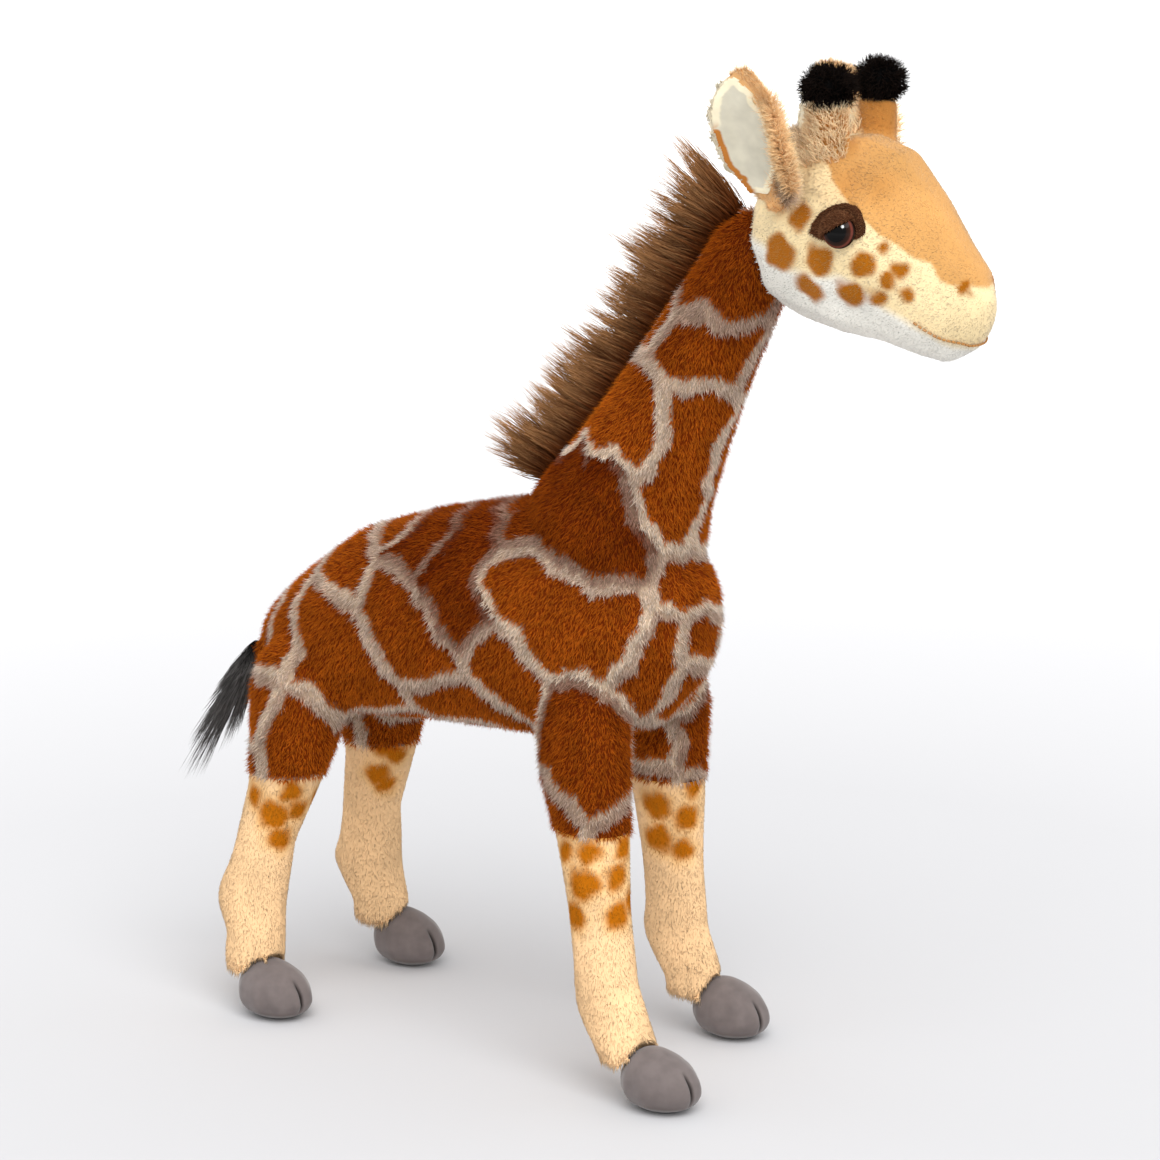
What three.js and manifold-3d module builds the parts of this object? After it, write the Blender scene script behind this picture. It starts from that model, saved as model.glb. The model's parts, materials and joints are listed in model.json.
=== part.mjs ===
// Plush giraffe, half a metre tall, standing on four legs.
// It faces -Y, its right side is -X and Z is up. Lengths are in millimetres and angles in degrees.
//
// Every stuffed piece is a plush cover over a polyester filling. A steel wire frame runs inside them: a
// spine with two cross wires in the torso, and one wire each in the neck, the head and every leg, with an
// eye bent round the wire that carries it. The toy bends at those eyes, and its ears and tail bend at
// their sewn roots.
import * as THREE from 'three';
import { mergeVertices } from 'three/addons/utils/BufferGeometryUtils.js';
import Module from 'manifold-3d';

const wasm = await Module();
wasm.setup();

// Cloth and clearances
const plushThickness = 2;
const seatGap = 0.3;
const jointGap = 1.5;
const cutOverrun = 60;

// Torso: a rounded barrel from the rump to the chest
const torsoLength = 276;
const torsoHeight = 128;
const torsoWidth = 104;
const rumpReach = 187;
const bellyHeight = 158;

// Neck: a tapering column that leans forward
const neckLength = 160;
const neckLean = 28.7;
const neckBaseDepth = 98;
const neckBaseWidth = 88;
const neckSetback = 55;
const neckRise = 110;
const neckBendBack = 8;
const neckBendForward = 10;

// Head: a wedge from the skull to the nose, pitched down
const headLength = 132;
const headDepth = 92;
const headWidth = 74;
const headPitch = 19;
const skullRise = 20;
const headNodUp = 10;
const headNodDown = 12;

// Horns: plush stubs with a black tuft
const hornSpreadShare = 0.54;
const hornStubRadius = 10.5;
const hornStubHeight = 30;
const hornTuftRadius = 12.5;
const hornTuftHeight = 18;
const hornLean = 4;

// Ears: cupped leaves with a velour lining
const earLength = 72;
const earWidth = 57;
const earCupRadius = 27;
const earThickness = 3.4;
const earRootRadius = 5;
const liningThickness = 1.2;
const liningMargin = 5;
const liningSeat = 0.7;
const earSplay = 27;
const rightEarLeanBack = -2;
const leftEarLeanBack = 28;
const earTurn = 82;
const earFoldForward = 10;
const earFoldBack = 16;

// Eyes: moulded domes on a shank, held by a washer behind the cover
const eyeRadius = 8;
const eyeBulge = 4.6;
const shankRadius = 2;
const shankLength = 9;
const washerRadius = 6.5;
const washerThickness = 1.2;
const patchThickness = 1;
const patchLength = 36;
const patchHeight = 25;
const threadWidth = 1.4;
const threadThickness = 0.9;

// Legs: sleeves on a wire, of spotted plush above the knee seam and short beige plush below
const frontLegSetback = 52;
const frontLegSpread = 35;
const frontHipRise = 22;
const hindLegSetback = 46;
const hindLegSpread = 33;
const hindHipRise = 12;
const footSpread = 54;
const frontThighDepth = 54;
const frontThighWidth = 42;
const hindThighDepth = 58;
const hindThighWidth = 46;
const frontKneeSeamHeight = 122;
const hindKneeSeamHeight = 127;
const legSwing = 8;
const frontStance = 16;
const hindStance = 2.5;

// Hooves: stuffed suedecloth with a stitched cleft
const hoofLength = 43;
const hoofWidth = 35;
const hoofHeight = 31;
const frontHoofLead = 18;
const hindHoofLead = 14;
const cleftWidth = 1.2;
const cleftDepth = 3;
const solePress = 0.5;

// Mane: a strip of long pile down the back of the neck
const manePile = 27;
const maneWidth = 22;
const maneLocks = 8;

// Tail: a plush sleeve with a long black tuft
const tailRise = 32;
const tailTuck = 7;
const tailRootRadius = 8;
const tailSleeveLength = 20;
const tailTuftLength = 80;
const tailTuftRadius = 12;
const tailDroop = 38;
const tailLift = 20;
const tailPress = 8;

// Wire frame
const wireRadius = 1.2;
const wireOverhang = 4;
const spineArch = 14;
const headWireReach = 70;
const hoofWireHeight = 10;

// Cloths and hard materials
const material = (color, roughness, metalness = 0) => (
  new THREE.MeshStandardMaterial({ color, roughness, metalness }));
const spottedPlush = material(0x8a4a1c, 0.95);
const beigePlush = material(0xe6c596, 0.95);
const tanPlush = material(0xdca563, 0.95);
const creamPlush = material(0xf3e6c6, 0.95);
const whitePlush = material(0xf0efe6, 0.95);
const darkPlush = material(0x4a2e1e, 0.95);
const blackPlush = material(0x17120f, 0.95);
const maneFur = material(0x7a5a3f, 0.95);
const greySuede = material(0x6f6668, 0.9);
const velour = material(0xe4e4d2, 0.9);
const thread = material(0xa06a28, 0.8);
const eyePlastic = material(0x1c110c, 0.15);
const washerPlastic = material(0xf0f0ee, 0.5);
const fibre = material(0xf6f5f0, 1);
const steelWire = material(0x9a9c9e, 0.35, 1);

const at = (x, y, z) => new THREE.Vector3(x, y, z);
const radians = THREE.MathUtils.degToRad;
const origin = at(0, 0, 0);
const xAxis = at(1, 0, 0);
const zAxis = at(0, 0, 1);

// three.js geometry to a solid, and back to geometry around the origin of its group
function toSolid(geometry) {
  const bare = new THREE.BufferGeometry();
  bare.setAttribute('position', geometry.attributes.position);
  bare.setIndex(geometry.index);
  const merged = mergeVertices(bare);
  return new wasm.Manifold(new wasm.Mesh({
    numProp: 3,
    vertProperties: new Float32Array(merged.attributes.position.array),
    triVerts: new Uint32Array(merged.index.array),
  }));
}

function toGeometry(solid, centre) {
  const mesh = solid.getMesh();
  const geometry = new THREE.BufferGeometry();
  geometry.setAttribute('position', new THREE.BufferAttribute(mesh.vertProperties, 3));
  geometry.setIndex(new THREE.BufferAttribute(mesh.triVerts, 1));
  return geometry.translate(-centre.x, -centre.y, -centre.z);
}

const joined = (solids) => solids.reduce((sum, solid) => sum.add(solid));
const without = (solid, cutters) => cutters.reduce((left, cutter) => left.subtract(cutter), solid);

// Reads a row between the rows of a table by its first column, smoothly and with no overshoot
function rowAt(rows, along) {
  const last = rows.length - 1;
  let i = 0;
  while (i < last - 1 && along > rows[i + 1][0]) i++;
  const step = rows[i + 1][0] - rows[i][0];
  const t = (along - rows[i][0]) / step;
  return rows[i].map((value, column) => {
    const rise = (k) => (rows[k + 1][column] - rows[k][column]) / (rows[k + 1][0] - rows[k][0]);
    const slope = (k) => {
      if (k === 0) return rise(k);
      if (k === last) return rise(k - 1);
      const [before, after] = [rise(k - 1), rise(k)];
      return before * after > 0 ? (2 * before * after) / (before + after) : 0;
    };
    const change = rows[i + 1][column] - value;
    const bend = (1 - t) * slope(i) - t * slope(i + 1);
    return value + t * t * (3 - 2 * t) * change + step * t * (1 - t) * bend;
  });
}

// A stuffed form of oval sections along its own Z. Each row is [along, shift in Y, half depth, half width,
// shift in X]. A dome rounds an end over that length; an end without one is flat and can run past.
function stuffedForm(rows, { sides = 14, rings = 10, domes = [0, 0], grow = 0, past = 0 }) {
  const [low, high] = [rows[0][0], rows.at(-1)[0]];
  const [lowDome, highDome] = domes.map((dome) => (dome ? dome + grow : 0));
  const start = lowDome ? low - grow : low;
  const end = highDome ? high + grow : high;
  const crowded = (t) => {
    if (lowDome && highDome) return (1 - Math.cos(Math.PI * t)) / 2;
    if (lowDome) return 1 - Math.cos((Math.PI * t) / 2);
    return highDome ? Math.sin((Math.PI * t) / 2) : t;
  };
  const stations = Array.from({ length: rings + 1 }, (_, k) => start + crowded(k / rings) * (end - start));
  if (past && !lowDome) stations.unshift(start - past);
  if (past && !highDome) stations.push(end + past);
  const closing = (distance, dome) => (dome && distance < dome
    ? Math.sqrt(1 - (1 - Math.max(0, distance) / dome) ** 2) : 1);

  const places = [];
  const loops = stations.map((station, k) => {
    const [, shift, depth, width, aside = 0] = rowAt(rows, THREE.MathUtils.clamp(station, low, high));
    const pole = (k === 0 && lowDome) || (k === stations.length - 1 && highDome);
    const round = pole ? 0 : closing(station - start, lowDome) * closing(end - station, highDome);
    return Array.from({ length: pole ? 1 : sides }, (_, j) => {
      const angle = (2 * Math.PI * j) / sides;
      places.push(aside + (width + grow) * round * Math.cos(angle));
      places.push(shift + (depth + grow) * round * Math.sin(angle), station);
      return places.length / 3 - 1;
    });
  });
  const faces = [];
  for (let k = 0; k + 1 < loops.length; k++) {
    for (let j = 0; j < sides; j++) {
      const [a, b] = [j, j + 1].map((place) => loops[k][place % loops[k].length]);
      const [c, d] = [j, j + 1].map((place) => loops[k + 1][place % loops[k + 1].length]);
      if (a !== b) faces.push(a, b, d);
      if (c !== d) faces.push(a, d, c);
    }
  }
  for (const loop of [loops[0].toReversed(), loops.at(-1)]) {
    for (let j = 1; j + 1 < loop.length; j++) faces.push(loop[0], loop[j], loop[j + 1]);
  }
  const geometry = new THREE.BufferGeometry();
  geometry.setAttribute('position', new THREE.Float32BufferAttribute(places, 3));
  return geometry.setIndex(faces);
}

// Rows that leave room for a form as it swings about an X axis at a place along it, by one angle towards
// its own +Y and by the other away from it
function swingRows(rows, pivot, towards, away) {
  const swell = 1 / Math.cos(radians(Math.max(towards, away)));
  return rows.map(([along, shift, depth, width, aside = 0]) => {
    const arm = Math.abs(along - pivot);
    const [plus, minus] = [towards, away].map((angle) => arm * Math.tan(radians(angle)));
    return [along, shift + (plus - minus) / 2, depth * swell + (plus + minus) / 2, width, aside];
  });
}

// Leans a form that was drawn along Z, and moves it to its place
const leaned = (geometry, angle, place) => toSolid(
  geometry.clone().rotateX(radians(angle)).translate(place.x, place.y, place.z));

// The space that a solid takes as it turns about an X axis through a centre
function swept(solid, centre, angles) {
  const away = [-centre.x, -centre.y, -centre.z];
  const turned = (angle) => solid.translate(away).rotate([angle, 0, 0]).translate(centre.toArray());
  return joined(angles.map(turned));
}

function block(low, high) {
  const size = high.clone().sub(low);
  const middle = low.clone().add(high).multiplyScalar(0.5);
  return toSolid(new THREE.BoxGeometry(...size.toArray()).translate(...middle.toArray()));
}

// Wires: a bent one, a straight one along X, an eye that hangs on one, and the room for each
const wireSides = 5;
function bentWire(points, steps, grow = 0) {
  const outline = new THREE.EllipseCurve(0, 0, wireRadius + grow, wireRadius + grow).getPoints(wireSides);
  const [first, second] = points;
  const [before, last] = points.slice(-2);
  const ends = [[first, second], [last, before]].map(([end, next]) => end.clone().add(
    end.clone().sub(next).setLength(1).multiplyScalar(grow)));
  const extrudePath = new THREE.CatmullRomCurve3([ends[0], ...points.slice(1, -1), ends[1]]);
  const section = new THREE.Shape(outline.slice(0, wireSides));
  return toSolid(new THREE.ExtrudeGeometry(section, { steps, extrudePath, bevelEnabled: false }));
}

function crossRod(place, fromX, toX, radius, sides = wireSides) {
  const rod = new THREE.CylinderGeometry(radius, radius, toX - fromX, sides);
  return toSolid(rod.rotateZ(Math.PI / 2).translate((fromX + toX) / 2, place.y, place.z));
}
const crossWire = (place, fromX, toX, grow = 0) => (
  crossRod(place, fromX - grow, toX + grow, wireRadius + grow));

const eyeletRadius = 2 * wireRadius + seatGap;
const halfSlot = wireRadius + seatGap;
function eyelet(place) {
  const ring = new THREE.TorusGeometry(eyeletRadius, wireRadius, wireSides, 2 * wireSides);
  return toSolid(ring.rotateY(Math.PI / 2).translate(...place.toArray()));
}
const eyeletRoom = (place) => crossRod(
  place, place.x - halfSlot, place.x + halfSlot, eyeletRadius + halfSlot, 2 * wireSides);

// The fan-shaped slot in which a wire that runs towards a point swings about an X axis, back and forward
function wireSlot(place, target, backAngle, forwardAngle, reach) {
  const rest = new THREE.Vector2(target.y - place.y, target.z - place.z).setLength(1);
  const edges = [backAngle, -forwardAngle].map((angle) => {
    const heading = rest.clone().rotateAround(new THREE.Vector2(), radians(-angle));
    const side = heading.clone().rotateAround(new THREE.Vector2(), -Math.sign(angle) * Math.PI / 2);
    side.multiplyScalar(halfSlot);
    return [side, heading.multiplyScalar(reach).add(side)];
  });
  const fan = new THREE.Shape([edges[0][0], edges[0][1], edges[1][1], edges[1][0]]);
  const slot = new THREE.ExtrudeGeometry(fan, { depth: 2 * halfSlot, bevelEnabled: false });
  slot.translate(0, 0, -halfSlot).applyMatrix4(new THREE.Matrix4().makeBasis(at(0, 1, 0), zAxis, xAxis));
  return toSolid(slot.translate(...place.toArray()));
}

// The tree of the toy: a group for each limb, at its hinge
const giraffe = new THREE.Group();
giraffe.userData.hinge = origin;
function limb(parent, hinge) {
  const group = new THREE.Group();
  group.position.subVectors(hinge, parent.userData.hinge);
  group.userData.hinge = hinge;
  parent.add(group);
  return group;
}

function addPiece(group, name, solid, finish) {
  const mesh = new THREE.Mesh(toGeometry(solid, group.userData.hinge), finish);
  mesh.name = name;
  group.add(mesh);
}

// Hinges of the neck, the head and the tail
const chestReach = torsoLength - rumpReach;
const neckHinge = at(0, -chestReach + neckSetback, bellyHeight + neckRise);
const neckAxis = zAxis.clone().applyAxisAngle(xAxis, radians(neckLean));
const headHinge = neckHinge.clone().addScaledVector(neckAxis, neckLength);
const tailHinge = at(0, rumpReach - tailTuck, bellyHeight + tailRise);
const neckGroup = limb(giraffe, neckHinge);
const headGroup = limb(neckGroup, headHinge);
const tailGroup = limb(giraffe, tailHinge);

// Torso, drawn from the rump to the chest: along, height of its middle, depth and width
const torsoShares = [
  [0, 0.23, 0.56, 0.78],
  [0.14, 0.28, 0.68, 0.88],
  [0.3, 0.38, 0.83, 0.96],
  [0.5, 0.45, 0.9, 1],
  [0.72, 0.5, 1, 1],
  [0.88, 0.53, 0.97, 0.94],
  [1, 0.54, 0.86, 0.86],
];
const torsoDomeShares = [0.28, 0.2];
const torsoRows = torsoShares.map(([along, middle, depth, width]) => [
  along * torsoLength, middle * torsoHeight, (depth * torsoHeight) / 2, (width * torsoWidth) / 2]);
const torsoDomes = torsoDomeShares.map((share) => share * torsoLength);
const torsoForm = (grow) => leaned(
  stuffedForm(torsoRows, { sides: 16, rings: 9, domes: torsoDomes, grow }),
  90, at(0, rumpReach, bellyHeight));

// Neck, drawn from its hinge to the head's, with a ball at each end that turns in its neighbour
const neckShares = [
  [0, 0, 1, 1],
  [0.14, 0.012, 0.84, 0.88],
  [0.35, 0.012, 0.7, 0.76],
  [0.58, 0.012, 0.6, 0.66],
  [0.8, 0.006, 0.52, 0.57],
  [1, 0, 0.48, 0.52],
];
const neckColumn = neckShares.map(([along, shift, depth, width]) => [
  along * neckLength, shift * neckLength, (depth * neckBaseDepth) / 2, (width * neckBaseWidth) / 2]);
const ballEnd = (row, distance) => [row[0] + distance, ...row.slice(1)];
const neckBaseRadius = neckColumn[0][2];
const neckTopRadius = neckColumn.at(-1)[2];
const neckDomes = [neckBaseRadius, neckTopRadius];
const neckRows = [
  ballEnd(neckColumn[0], -neckBaseRadius),
  ...neckColumn,
  ballEnd(neckColumn.at(-1), neckTopRadius),
];
const neckForm = (grow, rows = neckRows) => leaned(
  stuffedForm(rows, { sides: 12, rings: 10, domes: neckDomes, grow }), neckLean, neckHinge);

// Head, drawn from the skull to the nose, its own Y pointing up out of the forehead
const headShares = [
  [0, 0.03, 0.8, 0.74],
  [0.16, 0.07, 0.92, 0.9],
  [0.3, 0.11, 1.02, 0.98],
  [0.44, 0.13, 1.04, 1],
  [0.54, 0.13, 0.97, 0.96],
  [0.65, 0.09, 0.83, 0.86],
  [0.77, 0.03, 0.68, 0.75],
  [0.88, -0.01, 0.59, 0.67],
  [1, -0.03, 0.5, 0.58],
];
const headDomeShares = [0.26, 0.15];
const headRows = headShares.map(([along, shift, depth, width]) => [
  along * headLength, shift * headDepth, (depth * headDepth) / 2, (width * headWidth) / 2]);
const headDomes = headDomeShares.map((share) => share * headLength);
const headTilt = 90 + headPitch;
const skull = headHinge.clone().add(at(0, 0, skullRise));
const headForm = (grow) => leaned(
  stuffedForm(headRows, { sides: 14, rings: 10, domes: headDomes, grow }), headTilt, skull);

// Places on the head by shares of its size: sideways, above its middle line and along it
const intoHead = (x, above, along) => at(x, above, along).applyAxisAngle(xAxis, radians(headTilt));
const onHead = (x, aboveShare, alongShare) => (
  intoHead(x, aboveShare * headDepth, alongShare * headLength).add(skull));

// The head's side at such a place: where it is, and which way it faces
function headSide(side, [aboveShare, alongShare]) {
  const placeAt = (above, along) => {
    const [, shift, depth, width] = rowAt(headRows, along);
    return intoHead(side * width * Math.sqrt(1 - ((above - shift) / depth) ** 2), above, along).add(skull);
  };
  const [above, along] = [aboveShare * headDepth, alongShare * headLength];
  const place = placeAt(above, along);
  const [higher, further] = [placeAt(above + seatGap, along), placeAt(above, along + seatGap)];
  const outward = higher.sub(place).cross(further.sub(place)).multiplyScalar(side).normalize();
  return { place, outward };
}

// Turns a geometry drawn along its own Y, or another direction, to face outward at its place
const facing = (geometry, { place, outward }, own = at(0, 1, 0)) => toSolid(geometry
  .applyQuaternion(new THREE.Quaternion().setFromUnitVectors(own, outward)).translate(...place.toArray()));

// The half of space above a sloping cut through the head, whose height at the skull and the nose is given
function headAbove([skullShare, noseShare], lift = 0) {
  const slope = Math.atan2((noseShare - skullShare) * headDepth, headLength);
  const half = new THREE.BoxGeometry(2 * cutOverrun, 2 * cutOverrun, 6 * cutOverrun)
    .translate(0, cutOverrun + lift, 0).rotateX(-slope).translate(0, skullShare * headDepth, 0);
  return leaned(half, headTilt, skull);
}

// Legs. Rows run down from the hip: drop and forward shift as shares of its height, then depth and width as
// shares of the thigh's
const frontLegShares = [
  [0, 0, 1, 1],
  [0.18, 0.006, 0.93, 0.97],
  [0.34, 0.03, 0.76, 0.86],
  [0.56, 0.05, 0.66, 0.76],
  [0.72, 0.07, 0.68, 0.76],
  [0.8, 0.085, 0.77, 0.8],
  [0.9, 0.14, 0.72, 0.78],
];
const hindLegShares = [
  [0, 0, 1, 1],
  [0.12, 0, 0.94, 0.97],
  [0.28, -0.025, 0.76, 0.84],
  [0.5, -0.09, 0.64, 0.7],
  [0.64, -0.115, 0.72, 0.72],
  [0.76, -0.1, 0.66, 0.7],
  [0.88, -0.085, 0.64, 0.7],
];
// The hoof's rows run up from the floor: up, forward shift, length and width
const hoofShares = [
  [0, 0.04, 0.96, 0.96],
  [0.36, 0.02, 1, 1],
  [0.7, -0.02, 0.9, 0.92],
  [1, -0.08, 0.7, 0.72],
];
const hoofDomeShares = [0.3, 0.5];
const wireShares = [0, 0.3, 0.6, 0.85, 1];
const wireSteps = 5;

function makeLeg(name, side, plan) {
  const hip = at(side * plan.spread, plan.hipY, plan.hipZ);
  const group = limb(giraffe, hip);
  const column = plan.shares.map(([drop, forward, depth, width]) => [
    drop * hip.z, forward * hip.z + drop * plan.stance, (depth * plan.depth) / 2, (width * plan.width) / 2,
    side * drop * (footSpread - plan.spread)]);
  const hipRadius = plan.depth / 2;
  const rows = [ballEnd(column[0], -hipRadius), ...column];
  const legForm = (options, formRows = rows) => leaned(
    stuffedForm(formRows, { sides: 12, rings: 8, domes: [hipRadius, 0], ...options }), 180, hip);
  const [ankleDrop, ankleForward] = column.at(-1);

  // Hoof, pressed flat by the floor
  const hoofPlace = at(side * footSpread, hip.y - ankleForward - plan.hoofLead, -solePress);
  const hoofRows = hoofShares.map(([up, forward, depth, width]) => [
    up * hoofHeight, -forward * hoofLength, (depth * hoofLength) / 2, (width * hoofWidth) / 2]);
  const hoofDomes = hoofDomeShares.map((share) => share * hoofHeight);
  const hoofForm = (grow) => leaned(
    stuffedForm(hoofRows, { sides: 10, rings: 8, domes: hoofDomes, grow }), 0, hoofPlace);
  const around = at(cutOverrun, cutOverrun, 0);
  const floor = block(hoofPlace.clone().sub(around).setZ(-cutOverrun), hoofPlace.clone().add(around).setZ(0));
  const toe = hoofPlace.clone().add(at(0, -hoofLength / 2, hoofHeight / 2));
  const cleftReach = at(cleftWidth / 2, cleftDepth, hoofHeight / 3);
  const cleft = block(toe.clone().sub(cleftReach), toe.clone().add(cleftReach));

  // Wire, hung on the cross wire by its eye and ending inside the hoof
  const wirePoints = wireShares.map((share) => {
    const [drop, forward, , , aside] = rowAt(column, eyeletRadius + share * (ankleDrop - eyeletRadius));
    return at(hip.x + aside, hip.y - forward, hip.z - drop);
  });
  wirePoints.push(at(hoofPlace.x, (hoofPlace.y + wirePoints.at(-1).y) / 2, hoofWireHeight));
  const legWire = (grow) => bentWire(wirePoints, wireSteps, grow);
  const crossEnds = [0, side * (plan.spread + wireOverhang)].sort((a, b) => a - b);
  const wireRooms = [legWire(seatGap), eyeletRoom(hip), crossWire(hip, ...crossEnds, seatGap)];

  // Cover, closed over the hip like a bag, and cut in two at the knee seam
  const bag = without(legForm({}), [
    legForm({ grow: -plushThickness, past: cutOverrun }), hoofForm(seatGap), ...wireRooms]);
  const above = (height) => block(
    hip.clone().sub(around).setZ(height), hip.clone().add(around).setZ(hip.z + cutOverrun));
  const stuffing = legForm({ grow: -plushThickness - seatGap });
  addPiece(group, `${name}_thigh_cover`, bag.intersect(above(plan.seamHeight)), spottedPlush);
  addPiece(group, `${name}_shin_cover`, bag.subtract(above(plan.seamHeight - seatGap)), beigePlush);
  addPiece(group, `${name}_leg_filling`, without(stuffing, [hoofForm(seatGap), ...wireRooms]), fibre);
  addPiece(group, `${name}_leg_wire`, joined([legWire(0), eyelet(hip)]), steelWire);
  addPiece(group, `${name}_hoof`, without(hoofForm(0), [floor, cleft, legWire(seatGap)]), greySuede);
  return { hip, room: legForm({ grow: jointGap }, swingRows(rows, 0, legSwing, legSwing)) };
}

const frontPlan = {
  spread: frontLegSpread, hipY: -chestReach + frontLegSetback, hipZ: bellyHeight + frontHipRise,
  shares: frontLegShares, depth: frontThighDepth, width: frontThighWidth, seamHeight: frontKneeSeamHeight,
  hoofLead: frontHoofLead,
};
const hindPlan = {
  spread: hindLegSpread, hipY: rumpReach - hindLegSetback, hipZ: bellyHeight + hindHipRise,
  shares: hindLegShares, depth: hindThighDepth, width: hindThighWidth, seamHeight: hindKneeSeamHeight,
  hoofLead: hindHoofLead,
};
const legs = [
  makeLeg('front_right', -1, { ...frontPlan, stance: frontStance }),
  makeLeg('front_left', 1, { ...frontPlan, stance: -frontStance }),
  makeLeg('hind_right', -1, { ...hindPlan, stance: -hindStance }),
  makeLeg('hind_left', 1, { ...hindPlan, stance: hindStance }),
];

// Torso frame: a spine over two cross wires, and a riser to a stub that the neck's wire hooks on. An eye
// hangs just beside the wire that carries its stub.
const hookAside = 2 * halfSlot;
const frontHips = legs[0].hip.clone().setX(0);
const hindHips = legs[2].hip.clone().setX(0);
const spinePoints = [hindHips, hindHips.clone().lerp(frontHips, 0.5).add(at(0, 0, spineArch)), frontHips];
const stub = (place, grow) => crossWire(place, -wireOverhang, hookAside + wireOverhang, grow);
const torsoFrame = (grow) => joined([
  bentWire(spinePoints, 6, grow), bentWire([frontHips, neckHinge], 1, grow), stub(neckHinge, grow),
  crossWire(frontHips, -frontLegSpread - wireOverhang, frontLegSpread + wireOverhang, grow),
  crossWire(hindHips, -hindLegSpread - wireOverhang, hindLegSpread + wireOverhang, grow)]);

// Tail, hanging down and back
const tailAngle = 180 + tailDroop;
const tailShares = [[0, 1], [0.5, 0.78], [1, 0.7]];
const tailColumn = tailShares.map(([along, radius]) => [
  along * tailSleeveLength, 0, radius * tailRootRadius, radius * tailRootRadius]);
const tailRows = [ballEnd(tailColumn[0], -tailRootRadius), ...tailColumn];
const tailForm = (options, rows = tailRows) => leaned(
  stuffedForm(rows, { sides: 12, rings: 7, domes: [tailRootRadius, 0], ...options }), tailAngle, tailHinge);
const tuftShares = [[0, 0.5], [0.2, 0.85], [0.5, 1], [0.8, 0.72], [1, 0.3]];
const tuftRows = tuftShares.map(([along, radius]) => [
  tailSleeveLength + seatGap + along * tailTuftLength, 0, radius * tailTuftRadius, radius * tailTuftRadius]);
const tuftDome = tailTuftRadius;
addPiece(tailGroup, 'tail_sleeve', tailForm({}), spottedPlush);
addPiece(tailGroup, 'tail_tuft', leaned(
  stuffedForm(tuftRows, { sides: 12, rings: 8, domes: [0, tuftDome] }), tailAngle, tailHinge), blackPlush);

// Torso cover and filling, with a socket for every limb
const sockets = [
  neckForm(jointGap, swingRows(neckRows, 0, neckBendBack, neckBendForward)),
  tailForm({ grow: 2 * seatGap }, swingRows(tailRows, 0, tailPress, tailLift)),
  ...legs.map((leg) => leg.room)];
addPiece(giraffe, 'torso_cover', without(
  torsoForm(0), [torsoForm(-plushThickness), ...sockets]), spottedPlush);
addPiece(giraffe, 'torso_filling', without(
  torsoForm(-plushThickness - seatGap), [...sockets, torsoFrame(seatGap)]), fibre);
addPiece(giraffe, 'torso_frame_wire', torsoFrame(0), steelWire);

// Neck wire and head wire
const beside = (hinge) => hinge.clone().add(at(hookAside, 0, 0));
const headWireEnd = onHead(hookAside, 0, headWireReach / headLength);
const headWireHeading = headWireEnd.clone().sub(beside(headHinge)).normalize();
const headWirePoints = [beside(headHinge).addScaledVector(headWireHeading, eyeletRadius), headWireEnd];
const neckWirePoints = [
  beside(neckHinge).addScaledVector(neckAxis, eyeletRadius),
  beside(neckHinge).addScaledVector(neckAxis, neckBaseRadius),
  headHinge.clone().addScaledVector(neckAxis, -neckTopRadius),
  headHinge,
];
const neckWire = (grow) => joined([bentWire(neckWirePoints, 6, grow), stub(headHinge, grow)]);
const neckRooms = [
  neckWire(seatGap), stub(neckHinge, seatGap), eyeletRoom(beside(neckHinge)), eyeletRoom(beside(headHinge)),
  wireSlot(neckHinge, frontHips, neckBendForward, neckBendBack, neckBaseRadius + jointGap),
  wireSlot(beside(headHinge), headWireEnd, headNodUp, headNodDown, neckTopRadius + jointGap)];
addPiece(neckGroup, 'neck_cover', without(
  neckForm(0), [neckForm(-plushThickness), ...neckRooms]), spottedPlush);
addPiece(neckGroup, 'neck_filling', without(neckForm(-plushThickness - seatGap), neckRooms), fibre);
addPiece(neckGroup, 'neck_wire', joined([neckWire(0), eyelet(beside(neckHinge))]), steelWire);
addPiece(headGroup, 'head_wire', joined([bentWire(headWirePoints, 1), eyelet(beside(headHinge))]), steelWire);

// Mane: locks of pile behind the neck, clear of the torso and the head as the toy bends
const maneSpanShares = [-0.06, 1.22];
const lockShares = [0.74, 1];
const maneRows = Array.from({ length: 2 * maneLocks + 1 }, (_, k) => {
  const share = THREE.MathUtils.lerp(...maneSpanShares, k / (2 * maneLocks));
  const [, shift, depth] = rowAt(neckColumn, Math.min(1, share) * neckLength);
  return [share * neckLength, shift + depth, lockShares[k % 2] * manePile, maneWidth / 2];
});
const maneForm = leaned(stuffedForm(
  maneRows, { sides: 10, rings: 2 * maneLocks, domes: [manePile / 2, manePile / 2] }), neckLean, neckHinge);
addPiece(neckGroup, 'mane', without(maneForm, [
  neckForm(seatGap), swept(torsoForm(jointGap), neckHinge, [-neckBendForward, 0, neckBendBack]),
  swept(headForm(jointGap), headHinge, [-headNodUp, 0, headNodDown])]), maneFur);

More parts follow.
